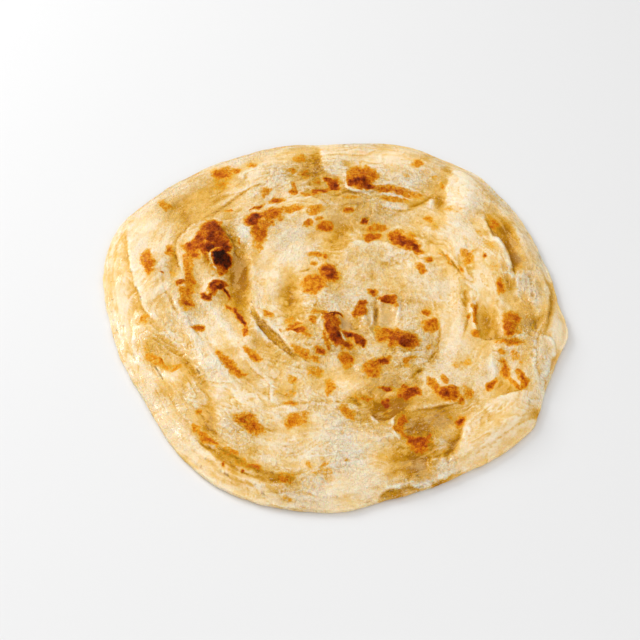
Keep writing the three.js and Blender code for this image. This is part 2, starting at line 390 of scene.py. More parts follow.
FOLDS = (
    # West: the turn that lies over the thin outer rim, from north to south.
    Fold(
        ((-86, 52), (-84.5, 42), (-83, 31), (-80.5, 19), (-78, 9), (-75.5, 2), (-70, -5)),
        1.2, 1.4, 0.1, 0.35, 2.0, 0.3,
    ),
    Fold(((-71, -2), (-66.5, -11), (-60.5, -19.5), (-54.5, -29), (-50, -36)), 1.5, 4.5, 0.0, 0.22, 5.0, 0.2),
    Fold(((-50, -37), (-47.3, -47), (-46.8, -56), (-44.5, -64)), 0.6, 4.0, 0.0, 0.2, 5.0, 0.1),
    # North-west: the long crease, and the sheet that bends round the large blister.
    Fold(((-53, 53), (-45, 59), (-38, 65), (-31, 70.6), (-25, 73.5)), 0.4, 0.7, 0.0, 0.6, 0.8, 0.1),
    Fold(((-50, 54), (-59, 48), (-63.2, 39), (-63.5, 31), (-60, 20)), 0.8, 0.6, 0.3, 0.6, 0.8, 0.5),
    Fold(((-45, 20), (-41.3, 27), (-40, 36), (-45, 46), (-51, 52)), 1.3, 0.6, 0.4, 0.6, 1.2, 0.0),
    # North: a pleat that runs in from the edge, and two sheet edges across the turn.
    Fold(((-1.5, 97), (-1.5, 88), (-2, 82), (1, 77), (7, 75)), 1.3, 2.2, 0.1, 0.4, 5.0, 0.3),
    Fold(((8.3, 77), (8.6, 71), (9.6, 66.5), (14, 65), (20, 65), (26, 69)), 1.0, 0.6, 0.4, 0.5, 1.2, 0.4),
    Fold(((23, 68), (29, 69.5), (35, 67.5), (44, 62)), 0.7, 1.2, 0.1, 0.2, 1.6, 0.2),
    Fold(((21.5, 60), (23.5, 56), (27.5, 53.6), (33, 52.8), (37, 54)), 0.5, 0.7, 0.1, 0.35, 1.4, 0.3),
    # North-east: a pleat that runs in from the edge, and the lips of the inner turn.
    Fold(((57, 80), (55, 73), (52, 65), (50.6, 55), (49.5, 43)), 0.9, 3.0, 0.0, 0.16, 4.5, 0.2),
    Fold(((45, 30.5), (48, 26), (50.5, 20)), 0.8, 0.5, 0.4, 0.9, 0.6, 0.3),
    Fold(((49, 27), (52, 21), (55.5, 12.5)), 0.8, 0.5, 0.4, 0.9, 0.7, 0.4),
    # East: the sheet over the long pocket, the thin outer lobe, and the ragged edge south of it.
    Fold(((75, 11), (74.3, 21), (71.5, 33), (68, 36.5), (66, 45), (66, 49)), 1.7, 0.9, 0.5, 0.5, 4.6, 0.6),
    Fold(((83.5, -19), (86.5, -8), (88.5, 4), (86, 18)), 1.1, 0.8, 0.5, 0.6, 1.8, 0.5),
    Fold(
        ((79, -53), (81, -47), (81.5, -40), (83.5, -37), (84.5, -32), (87.3, -28), (87, -22), (82, -18.5)),
        2.0, 0.5, 0.9, 0.35, 2.4, 0.9,
    ),
    Fold(((78, -50), (79.5, -44), (78.6, -36), (79.6, -28), (80, -19)), 0.6, 0.5, 0.4, 0.3, 1.0, 0.6),
    # The square pocket inside it, with three torn sides.
    Fold(((58.8, -20.5), (57.2, -14), (56.8, -8), (58.3, 1)), 0.9, 0.7, 0.5, 0.3, 1.4, 0.4),
    Fold(((66, 0), (66.4, -6), (66.6, -13), (66, -21)), 0.6, 3.0, 0.0, 0.1, 2.2, 0.15),
    Fold(((74, -22.5), (69, -21.6), (64, -20.8), (59, -20.2)), 1.3, 0.6, 0.4, 0.5, 2.0, 0.4),
    # The middle: the raised disc inside the first turn, and the slit south-west of it.
    Fold(((-26, 50), (-31, 42), (-33.5, 30), (-33, 10), (-31, 0), (-25, -9)), 1.7, 4.6, 0.0, 0.1, 3.0, 0.2),
    Fold(((-31.5, 1), (-28, -5), (-22, -13), (-16, -22), (-10, -27)), 1.2, 0.9, 0.3, 0.5, 2.2, 0.5),
    Fold(((-15, -26.5), (-21, -21), (-27, -14), (-32, -3), (-34, 3)), 1.3, 0.8, 0.3, 0.5, 3.0, 0.5),
    Fold(((41, 24), (37, 29), (29, 33), (16, 36), (9, 35.5), (4, 27)), 0.7, 1.8, 0.0, 0.3, 2.4, 0.3),
    Fold(((42, 2), (43, -10), (42.4, -20), (40.5, -28), (37, -33)), 0.45, 0.7, 0.1, 0.45, 0.7, 0.2),
    Fold(((29, -38), (33, -33.5), (36, -33)), 0.3, 0.5, 0.1, 0.4, 0.9, 0.2),
    # South: the corner of a sheet in front of the first turn, and the lips of the deep pocket.
    Fold(((4, -48.8), (-8, -48.2), (-16, -48.2), (-27, -49)), 0.4, 0.5, 0.3, 0.4, 0.6, 0.3),
    Fold(((-35, -25), (-31, -31.5), (-26.5, -36.5)), 0.6, 0.8, 0.2, 0.3, 1.0, 0.4),
    Fold(((-26.2, -36), (-25.6, -41), (-25.3, -47.5)), 0.5, 0.6, 0.3, 0.4, 1.0, 0.5),
    Fold(((-41.5, -39), (-39.5, -44), (-36, -48.5)), 0.4, 0.6, 0.2, 0.4, 0.8, 0.3),
    Fold(
        ((24.5, -53.5), (23, -56.4), (20.4, -58.5), (17.8, -59.1), (15.2, -58.3), (13, -55)),
        2.1, 0.7, 0.6, 0.8, 4.5, 0.1,
    ),
    Fold(
        ((12.6, -95), (14.6, -91.6), (20, -88.8), (30, -87.8), (36, -86), (45, -82), (52, -79.6)),
        2.0, 0.5, 0.7, 0.9, 3.0, 0.8,
    ),
    Fold(((27, -54), (33, -52.8), (40, -51.8), (50, -50)), 0.45, 0.8, 0.3, 0.3, 1.2, 0.45),
    # South-east: the puffed lobe.
    Fold(((77, -47.6), (72, -47.2), (66, -48.2), (59, -50.5)), 1.2, 0.7, 0.4, 0.4, 2.0, 0.35),
    Fold(((62, -49), (51, -58), (46, -68), (42, -77)), 1.2, 3.4, 0.0, 0.25, 3.4, 0.2),
    # South-west: sheets that part along the front edge.
    Fold(
        ((-58, -55), (-50, -64.5), (-41, -70), (-33, -76.5), (-24, -81), (-16, -84)),
        0.8, 1.4, 0.0, 0.5, 2.2, 0.2,
    ),
    Fold(((-20, -87), (-31, -83.5), (-40, -78.5), (-48, -71), (-57, -61)), 0.3, 0.8, 0.0, 0.35, 1.0, 0.4),
    Fold(((-54, -62), (-50, -66.5), (-46, -69)), 0.4, 0.6, 0.1, 0.4, 0.7, 0.8),
    Fold(((-40, -77), (-35, -79.8), (-30, -82)), 0.4, 0.6, 0.1, 0.4, 0.7, 0.8),
    Fold(((-50, -76), (-40, -81.5), (-30, -86), (-18, -88.5)), 0.3, 0.8, 0.0, 0.3, 0.8, 0.3),
    Fold(((-62, -66), (-54, -74), (-42, -83), (-28, -89.5)), 0.25, 0.8, 0.0, 0.25, 0.8, 0.2),
)

RIM_SHEETS = (
    RimSheet(140, 204, 5.0, 0.35),
    RimSheet(150, 190, 2.2, 0.25),
    RimSheet(214, 238, 16.0, 0.3),
    RimSheet(198, 262, 10.5, 0.35),
    RimSheet(212, 292, 5.0, 0.4),
    RimSheet(292, 330, 5.0, 0.4),
    RimSheet(12, 56, 5.0, 0.5),
    RimSheet(60, 96, 7.0, 0.4),
)

MOUNDS = tuple(
    Mound(*row)
    for row in (
        (-50, 37, 7.5, 13, 15, 4.2), (-49, 12, 6, 4, 60, 1.8), (-74, 28, 7, 24, 4, 1.4),
        (15, 72.5, 8, 7, 0, 2.2), (30, 63.5, 3.5, 10, 75, 1.5), (28.5, 56, 3.2, 7, 72, 0.6, -0.2, 0.35),
        (-30, 50, 5, 5, 0, 1.6), (-36, 45, 2.4, 4.6, 20, 0.5, -0.6, 0.9), (-22, 54, 3, 7, -60, 1.3),
        (31, 35, 4.5, 8, 55, 1.4), (-1, 19, 3.2, 5.5, 15, 1.5), (-8, 14.5, 5, 6, 0, 1.1),
        (12, 24, 14, 9, 70, 0.9), (26, -17, 4.5, 8.5, 72, 1.5), (15, -32, 6, 6, 0, 1),
        (39, -11, 4, 4, 0, 1), (47, -14, 4.6, 17, -8, 0.9, 0, 0.25), (28, -45, 5, 5, 0, 1.2),
        (43, -45, 6, 5, 0, 1.3), (71, -13, 4.5, 7, -10, 1.6), (58, 55, 5, 24, -12, 1.2, 0, 0.4),
        (64, -62, 13, 15, -55, 2.8), (-36, -56, 7, 10, 70, 1.3), (-16, -56, 6, 8, -70, 1),
        (-50, -18, 5, 20, 25, 1.6, 0, 0.4), (0, -73, 9, 22, 85, 0.6), (6, -73.5, 5.5, 5, 0, 0.3, 0, 0.3),
        (0, -66, 14, 9, 0, 0, -0.03, 0.2), (15, -66, 8, 8, 0, 1),
        # Hollows, where the dough is thin and soaked with oil; their amber holds painted shade too.
        (-38.5, 20, 5.0, 15, 3, -2.6, 0.8), (-41, 42, 2.5, 7, 30, -1.0, 0.5),
        (-6, 83, 4.4, 10, 0, -1.4, 0.3), (46, 60, 5, 12, 5, -0.9, 0.15), (-17, 6, 4.5, 12, 0, -1.8, 0.5),
        (-17, 5, 1.6, 3, 8, -0.3, 0.4), (61.8, -12, 3.8, 9, 0, -0.9, 0.3), (54, 2, 1.6, 6, 0, -1.0, 0.5),
        (75.5, 29, 3.6, 13, 10, -2.3, 0.7), (17.6, -53, 6, 5.5, 0, -2.8, 1.1),
        (30.6, -60.6, 4.2, 5.4, 0, -1.7, 1.0), (-57, -31, 6, 11, 35, -0.8, 0.3),
        (-50, -53, 4.5, 11, 0, -0.6, 0.3), (-60, 62, 9, 11, -30, -0.8, 0.2),
        (27.5, -77.5, 5.5, 9, 80, -1.4, 0.5), (43.5, -70, 3.6, 9, -18, -1.0, 0.3),
        (40, -57, 7, 5, 0, -0.8, 0.4), (24, 47, 7, 19, 90, -0.6, 0.2), (4, 38, 4.5, 10, -10, -0.5, 0.35),
        (64, -44, 4.5, 4.5, 0, -1.0, 0.4), (22, -5.5, 4.2, 6.5, 0, -1.3, 0.12),
        (4.8, -8, 1.8, 6, 8, -1.5, 0.4), (-66, 24, 2.5, 12, -8, -0.8, 0.3),
        (-71, -20, 6, 6, 0, -0.8, 0.15), (77, -56, 2, 3.2, -50, -0.9, 0.9),
        (62, -35, 1.3, 5, 0, 0.5, -0.1, 0.5),
    )
)

LINES = (
    Line(((-4, -3), (-1, -10), (2, -18), (7, -24)), 2, 2.6),
    Line(((5, -9), (8, -15), (13, -20)), 1.6, 1.8),
    Line(((12.5, 1), (12.4, -6), (13.4, -14)), 1.7, 1.6, 0, 0.3),
    Line(((16.3, 0), (15.9, -6), (15.6, -9.5), (14.2, -12.5), (17, -19)), 0.9, 0.5, 0, 0.9),
    Line(((26.2, 0), (26.8, -3), (25.6, -8)), 0.6, 0.6, 0, 0.8),
    Line(((3.2, -12.5), (3.8, -16), (4.6, -18.5)), 0.7, 0.6, 0, 0.9, -0.6),
    Line(((18, -2), (21, 4), (25.5, 4), (26.5, -3), (25, -12)), 1.4, 1.2),
    Line(((-7, 2), (-3, 10), (-3, 16)), 0.9, 2),
    Line(((56, 2), (56, -7), (57.4, -17)), 0.8, 1.1),
    Line(((-26, -4), (-34, -16), (-36, -30)), 1, 4, 0, 0.3),
    Line(((24.5, -54.8), (21.4, -58), (21.2, -63), (23.6, -68)), 0.5, 0.55, 0, 0.9),
    Line(((33.4, -76), (33, -80), (34.6, -84.5)), 0.5, 0.5, 0, 0.7),
    Line(((12.6, -54.6), (13.6, -57.6), (15.6, -59.6)), 0.3, 0.8, -0.2, 0.9),
    Line(((8.2, 80), (8.0, 73), (8.6, 67.6), (13.5, 64.6), (21, 63.8)), 0.2, 0.8, -0.2, 0.6, -0.8),
    Line(((22, 69), (27, 69.2), (33, 67.2), (42, 61.8)), 0.3, 0.4, 0, 0.6, -0.4),
    Line(((21, 63.2), (27, 61.8), (32, 60.2), (38, 57.4)), 0.2, 0.35, 0, 0.6, -0.4),
    Line(((43.4, 53), (44.4, 56.5), (44.6, 59)), 0.5, 1.3, -0.2, 0.7),
    Line(((-63, 8), (-60, -2), (-56.5, -12), (-54, -21), (-51, -31)), 0.9, 2.4, 0.0, 0.15),
    Line(((-50, 5), (-46, -4), (-41.5, -11), (-37.5, -19)), 0.7, 1.9, -0.1, 0.35),
    # Creases and cracks; their amber is oil and painted shade in the crease.
    Line(((-68, -10), (-62.5, -19), (-58, -25.5), (-54, -32), (-49.5, -40)), -0.8, 2.0, 0.3),
    Line(((-53, -8), (-50, -15), (-46, -22)), -0.4, 1.6, 0.3),
    Line(((34, 54), (38.5, 55.6), (42, 58), (45.5, 61.5)), -0.5, 0.9, 0.6),
    Line(((60, -19.8), (64, -20.9), (67, -21)), -0.3, 0.4, 0.7),
    Line(((80.2, -10.4), (81, -13.5), (80.4, -15.6), (78.2, -15.2)), -0.5, 0.6, 0.9),
    Line(((47.5, -61), (46.2, -66), (43.5, -71.5), (40.5, -75), (36, -76.6)), -0.4, 1.0, 0.4),
    Line(
        ((-44, 35.3), (-47, 34.7), (-49.3, 33), (-49.4, 29.5), (-48, 25.5), (-46, 21.5)),
        0.3, 0.45, 0, 0.9, -0.7,
    ),
    Line(((18, 3), (17.7, -4), (17, -11)), -1.1, 0.9, 0.35),
    Line(((7, -8), (7.2, -10.5), (8.4, -13)), -0.7, 0.5, 0.8),
    Line(((-13, 20), (-10, 21), (-8, 22)), -0.5, 0.5, 0.6),
    Line(((-6, 8), (-6, 4), (-7.5, 1)), -0.6, 0.5, 0.6),
    Line(((-66, 12), (-64.5, 5), (-61, -2)), -0.6, 0.6, 0.35),
    Line(((-59, 0), (-55, -9), (-51.5, -15)), -0.5, 0.5, 0.3),
    Line(((55.5, -3), (54, -10), (51, -20)), -0.5, 0.6, 0.4),
    Line(((36.5, 28), (37, 25), (41, 24.5)), -0.5, 0.5, 0.5),
    Line(((-69, 23), (-68, 14), (-65, 8)), -0.4, 0.6, 0.2),
    Line(((42, -22), (38, -28), (34, -32)), -0.5, 0.5, 0.4),
)

STAINS = tuple(
    stain(*row)
    for row in (
        # West and north-west.
        (-88, 29, 2.6, 12, 0.4, 3), (-39, 9, 3, 7, 0.35), (-78, 30, 6, 26, -0.08, 4),
        (-80, 6, 2.4, 8, 0.35, 15), (-70, 8, 4, 6, 0.25), (-67, -2, 4, 5, 0.3), (-56, 66, 8, 15, 0.32),
        (-67, 60, 6, 6, 0.3), (-57, 53, 6, 5, 0.35), (-48, 61, 6, 7, 0.3), (-45, 72, 5, 9, 0.5, -10),
        (-33, 84, 4, 4, 0.35), (-41, 52, 2.4, 7, 0.3, 20), (-50.3, 28.5, 2.0, 6, 1.0, 12),
        (-64, 34, 3, 8, 0.4), (-65, 20, 3.2, 9, 0.45, 15), (-72, 46, 3, 5, 0.2),
        (-37, 2, 3.4, 8, 0.5, 15),
        # North.
        (-13, 86, 6, 10, 0.28), (-4, 84, 2, 10, 0.35), (-9, 78, 5, 5, 0.25), (-9, 70, 4, 4, 0.2),
        (-2, 70, 8, 5, 0.4), (7, 68, 2.6, 5, 0.4), (13, 58, 13, 7, 0.42), (14, 85, 5, 4, 0.15),
        (26, 91, 4, 3, 0.15), (-8, 56, 9, 4, 0.35), (5, 46, 7, 8, 0.4), (3, 34, 6, 6, 0.35),
        (-6, 40, 4, 5, 0.45), (36, 57, 3.4, 8, 0.5, -65), (24, 60, 3, 3, 0.3), (19, 41, 6, 5, 0.35),
        # North-east.
        (45, 84, 4, 9, 0.4, 60), (51, 71, 3.5, 9, 0.4, -15), (48.2, 57, 2.2, 5, 0.35),
        (42, 63, 4, 4, 0.2), (69, 57, 3, 9, 0.3, 20), (62, 36, 3, 4, 0.2), (66, 30, 4, 4, 0.25),
        (70, 43, 4.5, 7, 0.6, 25), (75, 36, 3.2, 7, 0.95, 8), (77, 21, 3, 6, 0.6, 5),
        (74, 8.5, 1.8, 4, 0.5), (78, 6, 2, 6, -0.4), (83, -2, 2, 5, -0.45), (84.5, 10, 2.4, 7, 0.1),
        (88.5, -2, 1.8, 9, 0.5, -10), (52, 22, 3, 8, 0.3, 25), (45.5, 22, 2.4, 8, 0.15, 15),
        # The middle.
        (-17, 10, 4.4, 10, 0.3), (2.5, 12, 2.6, 9, 0.35, 5), (-8, 17, 6, 8, 0.25), (22, 19, 4, 5, 0.15),
        (13, 17, 4, 5, 0.2), (27, 8, 4, 6, 0.3), (17, -4, 1.6, 7, 0.3), (-14, -9, 6, 6, 0.4),
        (-6, -1, 4, 4, 0.4), (-28, -13, 3.4, 14, 0.45, 33), (-21, -27, 4, 5, 0.3), (-8, -22, 7, 5, 0.35),
        (6, -24, 3, 5, 0.4), (39, -6, 4, 9, 0.35), (39, -25, 3, 6, 0.3), (14, -33, 8, 7, 0.35),
        (22, -31, 5, 4, 0.3), (25, -38, 5, 5, 0.4), (32, -34, 3, 5, 0.35), (23, -15, 10, 5, 0.08, -10),
        (-32, -36, 3, 4, 0.2), (-19, -42, 5, 6, 0.25), (54, -3, 2.4, 12, 0.4),
        # East.
        (62, -15, 3.4, 6, 0.6), (61.5, -7, 3, 6, 0.25), (59, -20, 4, 6, 0.4), (74, -4, 6, 7, 0.3),
        (78, -8, 3, 12, 0.35), (76, -30, 3, 8, 0.25), (90.5, -18, 3, 12, -0.3), (80, -12, 5, 9, 0.42),
        (85, -14, 2.6, 6, 0.4), (51, -31, 6, 3.4, 0.4), (67, -27, 4, 7, 0.12),
        # South-west.
        (-72, -17, 5, 9, 0.45, 25), (-64, -27, 6, 3, 0.3), (-55, -31, 3.4, 9, 0.28, 30),
        (-63, -38, 9, 5, 0.3), (-51, -49, 4, 5, 0.45), (-49, -57, 3, 8, 0.42),
        (-46, -68, 3.6, 7, 0.7, 30), (-38, -75, 3.6, 8, 0.7, 52), (-28, -80, 3.4, 8, 0.65, 62),
        (-20, -83, 4.5, 6, 0.7, 70), (-14, -88, 3, 3, 0.1), (-41, -78, 3, 12, 0.3, 55),
        (-25, -85.5, 2, 9, 0.3, 65), (-33, -69, 4, 4, 0.2), (-41, -27, 4, 9, 0.2, 38),
        (-33, -20, 3.4, 7, 0.35, 40),
        # South.
        (-5, -35, 4.4, 9, 0.4, 25), (8.5, -47, 5, 4, 0.45), (4, -54, 4, 6, 0.35, 30),
        (-9, -80, 6, 4, 0.2), (2, -91, 4, 3, 0.2), (16, -76, 4, 4, 0.25),
        # South-east.
        (16, -44, 6, 6, 0.5), (17.5, -53.5, 6.5, 5, 0.5), (25, -50, 5, 4, 0.5), (36, -56, 12, 5, 0.5),
        (45, -52, 6, 4, 0.35), (38, -63, 5, 7, 0.45), (28, -65, 6, 7, 0.5), (28, -77, 6, 5.5, 0.65),
        (19, -79, 4, 6, 0.4), (38, -76, 3, 2.4, 0.4), (43.5, -71, 2, 6, 0.6, -28), (22, -76.5, 2, 2, 0.5),
        (66, -45, 7, 3, 0.45), (57, -58, 5, 4, 0.25), (65, -62, 14, 9, 0.1, 30),
        # The stain at (25, -93) is painted shade under the front edge's lip.
        (56, -57, 6, 5, 0.15, 30), (66, -64, 4, 6, 0.08), (25, -93, 11, 2.4, 0.7, -15),
        # Between and beside the griddle's marks; those round (-38, 20) darken the hollow west of the disc
        # with oil and painted shade.
        (24, -48, 2.4, 4, 0.6), (27, -82.5, 5, 4, 0.6), (34.5, -72.5, 3.4, 3.4, 0.65),
        (24.5, -53, 2.6, 2.6, 0.7), (31.5, -64.5, 3.4, 3, 0.5), (29, -41, 4, 2.6, 0.3),
        (33, -49.6, 6, 2.4, 0.35), (17, -61, 4, 2.6, 0.3), (9, -59, 4, 3, 0.2), (22, -71, 3, 3, 0.2),
        (10.5, -7, 3, 5.4, 0.45), (20, 12, 4, 4, 0.2), (35, 39.5, 4, 3, 0.35), (5, -32, 3, 5, 0.35),
        (24, -23, 5, 2.4, 0.35), (-5, 8, 4, 3, 0.25), (-65, 49, 4, 4, 0.25), (61, 26, 2.4, 4, 0.2),
        (63, -56, 3, 2, -0.15), (2, -46, 3, 3, -0.25), (-20, 15, 2, 4, -0.2), (-12, 0, 4, 4, 0.2),
        (-11, -14, 5, 3, 0.25), (-25, -21, 4, 5, 0.3, 30), (-31, 30, 2.6, 6, 0.4),
        (-34.5, 16, 2.2, 9, 0.45), (-43, 5, 2.6, 4, 0.45), (-34, -82, 2.4, 7, 0.3, 62),
        (-14, -64, 4, 4, 0.15), (-37, -27, 2.6, 4, 0.25, 40), (-3, 63.6, 5, 2.6, 0.35),
        (1, 28, 4, 4, 0.25), (73, 9, 1.8, 4.4, 0.45), (70, 16, 2, 3, 0.2), (66, -14, 1.4, 5, 0.2),
        (-57, 25, 2, 5, 0.25), (-41, -21, 3, 4, 0.45, 38), (-43.5, -77, 3, 6, 0.5, 45),
        (-46, 10, 2.4, 3, 0.4), (23, -52, 3.4, 3, 0.9), (31, -80, 6, 3, 0.7, 10), (46, 41, 2.4, 3, 0.35),
        (-33, 23, 2.6, 5, 0.4), (32, 1, 3, 3, 0.35), (-35, -70, 3, 3, 0.35), (83, -17, 2.4, 4, 0.4),
        (15, -12, 2, 3, 0.3), (15, -60, 3.4, 2.6, 0.4), (-39, 19, 2.4, 4, 0.6), (22, -85, 4, 3, 0.45),
        (70.5, 12, 1.4, 2.4, 0.4), (3, 62, 3, 2.4, 0.4), (-36, -59, 4, 3, 0.5), (8, -12, 2, 4, 0.4),
        (-33, -12, 2.4, 6, 0.4, 35), (57, 19, 2.4, 4, 0.4), (38, -48, 3, 3, 0.35), (35.5, 37, 3, 3, 0.4),
        (-38, 22, 2.4, 4, 0.4), (-30, -3, 2.4, 4, 0.4, 30), (-35, -33, 3, 3, 0.4),
        (10.7, 23.6, 1.2, 1.3, 0.45), (22, 22.4, 2.2, 1.5, 0.5), (16.5, 29.5, 4, 1.5, 0.2),
        (17.5, 15.5, 3, 2, 0.25, 30), (20, -57, 4, 2, 0.6), (-55, 56, 4, 3, 0.3), (30, -79, 4, 3, 0.6),
        (86, -8, 1.8, 5, 0.6, -15), (-38, 16, 3, 8, 0.4), (16, -12, 2.4, 3, 0.2), (20, -56, 4, 2, 0.5),
        (-1.5, 80, 3, 4, 0.4), (-55, 14, 2, 4, 0.4), (31, -49, 3, 2.4, 0.4), (66, -4, 2, 4, 0.25),
        (42, 36, 3, 4, 0.3), (65, -16, 2, 4, 0.3), (47, 31, 3, 3, 0.25), (28, 11, 4, 4, 0.25),
        (-15, -3, 3, 3, 0.3), (-58, 51, 3, 3, 0.35), (-24, -21, 3, 4, 0.3, 30), (24, -78, 3, 2.4, 0.4),
        (28, -63, 3, 4, 0.5), (67, 38, 2.4, 4, 0.4, 20), (73, 6, 2, 3, 0.35), (-50, 28, 2, 3, 0.4),
        (23, -32, 4, 3, 0.25), (-77, -4, 3, 4, 0.25), (36, -71, 3, 3, 0.4), (-48, 57, 4, 3, 0.3),
        (-38, 23, 2.6, 4, 0.4), (38, -34, 3, 2, 0.25), (-85, 42, 3, 6, 0.25), (44, 44, 3, 3, 0.3),
        (20, -56.5, 5, 3, 0.4), (52, -50, 3, 3, 0.25), (68, 10, 3, 4, 0.25), (-14, -62, 4, 3, 0.25),
        (16, -12, 4, 3, 0.2), (-25, 40, 3, 3, 0.25), (-73, 25, 3, 4, 0.25), (7, -11, 3, 3, 0.25),
        (-39, 22, 3, 4, 0.35), (29, -83, 7, 4, 0.2), (67, 5, 5, 8, 0.14), (25, -69, 7, 6, 0.2),
        (19, -56, 5, 4, 0.25), (86, 5, 4, 8, 0.15), (71, 19, 5, 6, 0.12), (24, -42, 7, 6, 0.15),
        (-51, 30, 6, 7, 0.15), (-31, 28, 6, 7, 0.15), (-3, 18, 5, 6, 0.14), (8, -62, 5, 5, 0.22),
        (-26, -7, 3, 4, 0.35, 40), (-26, -45, 3, 3, 0.25), (-24, -87, 4, 2.4, 0.3), (-58, -15, 3, 4, 0.3),
        (-38, 23, 2.4, 4, 0.35), (6, -10, 3, 3, 0.2), (-39, 76, 3, 3, 0.3), (-27, -60, 3, 4, 0.3, 50),
        (39, -2, 2.4, 3, 0.3), (-73, 24, 2.4, 3, 0.4), (33, -39, 3, 3, 0.2), (76, 12, 3, 3, 0.25),
        (-6, 79, 3, 3, 0.45),
        # Places made lighter.
        (28.5, 41, 2.6, 2.4, -0.3), (23, 67, 3, 2, -0.6), (-6, 55, 3, 2, -0.55), (35, 62, 3, 2.4, -0.3),
        (-78, 33, 2, 4, -0.55), (81, 12, 2.4, 4, -0.3), (55, 27, 2.4, 3, -0.3), (38, -78, 4, 3, -0.3, 30),
        (-21, -8, 2.4, 3, -0.3), (-26, -82, 3, 2.4, -0.3), (53, -13, 2, 3, -0.2), (1, -2, 3, 3, -0.25),
        # The first three on the next line lighten the front slope, which faces away from the lamps: painted
        # light.
        (-12, -91, 12, 3, -0.15), (1, -77, 10, 6, -0.14), (8, -90, 8, 4, -0.15), (30, 64, 7, 5, -0.2),
        (-24, 67, 7, 5, -0.14), (-49, -30, 6, 6, -0.14), (-65, 12, 4, 7, -0.12), (-14, 42, 6, 6, -0.12),
        (-42, -26, 3, 3, -0.2, 38), (-52, 73, 4, 3, -0.2), (66, -32, 3, 3, -0.2),
        (-32, -25, 2.4, 2.4, -0.3), (28.5, 41, 2.6, 2, -0.3), (60, -43.5, 2, 2.6, -0.3),
        (1, -46, 2.6, 2, -0.35), (-44, -26, 2, 3, -0.35, 38), (-40, -75, 3, 3, -0.3, 40),
        (-67, 38, 2, 3, -0.25), (-60, -25, 3, 3, -0.45), (-27, 69, 3, 3, -0.3), (35, 63, 3, 2.4, -0.25),
        (-9, 50, 3, 2, -0.25), (-61, 18.4, 2, 2, -0.3), (-5, -31, 2.4, 2, -0.3), (-35, 51, 3, 2, -0.2),
        (48, -58, 3, 3, -0.3), (35, 62, 4, 3, -0.25), (-49, 16, 3, 3, -0.2),
        (-44, -27, 2.4, 3, -0.25, 38), (-32, 57, 3, 2, -0.25), (-15, -45, 4, 3, -0.25),
        (-7, -83, 4, 2, -0.3), (-64, -8, 4, 4, -0.25), (81, 11, 3, 4, -0.2), (42, 5, 3, 4, -0.25),
        (55, -52, 4, 3, -0.25), (-24, 59, 3, 2, -0.25), (-37, 85, 4, 3, -0.3), (-68, 21, 2.6, 4, -0.25),
        (58, 34, 3, 4, -0.3), (54, 2, 2, 4, -0.2), (26, 68.4, 4, 1.5, -0.3),
        (-44, -27, 2.4, 4, -0.25, 38), (-56, -5, 3, 3, -0.25), (60, 12, 3, 4, -0.3),
        (23, -11, 3, 2, -0.25), (-61, 65, 4, 3, -0.15), (-83, -7, 3, 5, -0.35), (-78, 32, 4, 5, -0.2),
        (28, 41, 3, 2, -0.25), (0, 3, 3, 3, -0.3), (-12, 41, 3, 3, -0.3), (-45, -27, 2.4, 4, -0.3, 38),
        (27, 53, 4, 2, -0.3), (6, -74, 5, 4, -0.3), (6, -40, 4, 3, -0.3), (-10, -86, 5, 3, -0.3),
        (-65, 29, 2.4, 3, -0.25), (1, -79, 5, 3, -0.2), (-20, 64, 4, 3, -0.25), (28, 41, 3, 3, -0.25),
        (0, -27, 3, 3, -0.25), (44, -33, 3, 3, -0.35), (36.6, 23, 3, 4, -0.1), (38, -80.5, 4, 3, -0.5),
        (-84, 5, 3, 9, -0.2), (-22, 72, 5, 2.4, -0.2), (-67, 22, 2.4, 5, -0.25), (-49, 17, 3, 2.6, -0.2),
        (-67, 24, 2.4, 7, -0.3), (-41, 46, 2.4, 4, -0.15, 20), (79, 32, 2.4, 6, -0.2, 10),
        (52, -56, 3, 4, -0.2, 30), (60, -43, 2, 3, -0.15), (-78, 45, 4, 13, -0.3, -8),
        (-70, 50, 5, 6, -0.15), (-78, 18, 3, 7, -0.15, 10), (-27, 30, 4, 12, -0.3, 5),
        (-15, 32, 7, 10, -0.25), (-47, -14, 4, 12, -0.05, 35), (-35, -45, 8, 5, -0.1),
        (43, 14, 3.4, 8, -0.1, -5), (46, -17, 4, 10, 0.05), (57, 62, 4.5, 16, -0.02, -15),
        (64, 32, 4, 7, -0.2), (20, 84, 12, 6, -0.1, -15), (4, -66, 12, 9, -0.1), (5, -76, 6, 5, -0.1),
        (4, -86, 12, 5, -0.1), (-46, -84, 4, 14, -0.25, 53), (-22, -68, 10, 6, -0.05),
        (62, -54, 8, 3, -0.1, 20), (10, 26, 10, 6, 0.12),
    )
)

# Places where oil has turned the thin layers dull and see-through, with how much as their depth; the first is
# painted shade.
DULL_PLACES = (
    # Painted shade in the narrow hollow beside the brown streak.
    Stain(5, -9, 2.4, 6, 8, 0.85),
    Stain(22, -6, 4, 6, 0, 0.6),
    Stain(14, -12, 3, 4, 0, 0.5),
    Stain(30, -82, 7, 4, 10, 0.3),
    Stain(33, 14, 8, 10, 0, 0.05),
    Stain(24, 49, 14, 5, 0, 0.22),
    Stain(14, 59, 10, 5, 0, 0.3),
    Stain(2, 50, 6, 6, 0, 0.35),
    Stain(19, -40, 9, 6, 0, 0.45),
    Stain(6, -30, 6, 5, 0, 0.3),
    Stain(26, -51, 6, 3.4, 0, 0.15),
    Stain(38, -60, 8, 7, 0, 0.45),
    Stain(28, -79, 7, 6, 0, 0.12),
    Stain(38, -84, 8, 3, 15, 0.3),
    Stain(78, -12, 4, 7, 0, 0.4),
    Stain(80, 22, 4, 12, 0, 0.4),
    Stain(70, -32, 8, 8, 0, 0.15),
    Stain(88, -30, 3, 4, 0, 0.2),
    Stain(-58, 62, 12, 10, 0, 0.12),
    Stain(-38, 52, 6, 6, 0, 0.25),
    Stain(-35.5, 14, 3, 14, 3, 0.1),
    Stain(-18, 72, 14, 5, 10, 0.12),
    Stain(-10, -38, 10, 6, 0, 0.2),
    Stain(-60, -12, 5, 9, 30, 0.25),
    Stain(58, -8, 3, 10, 0, 0.2),
)

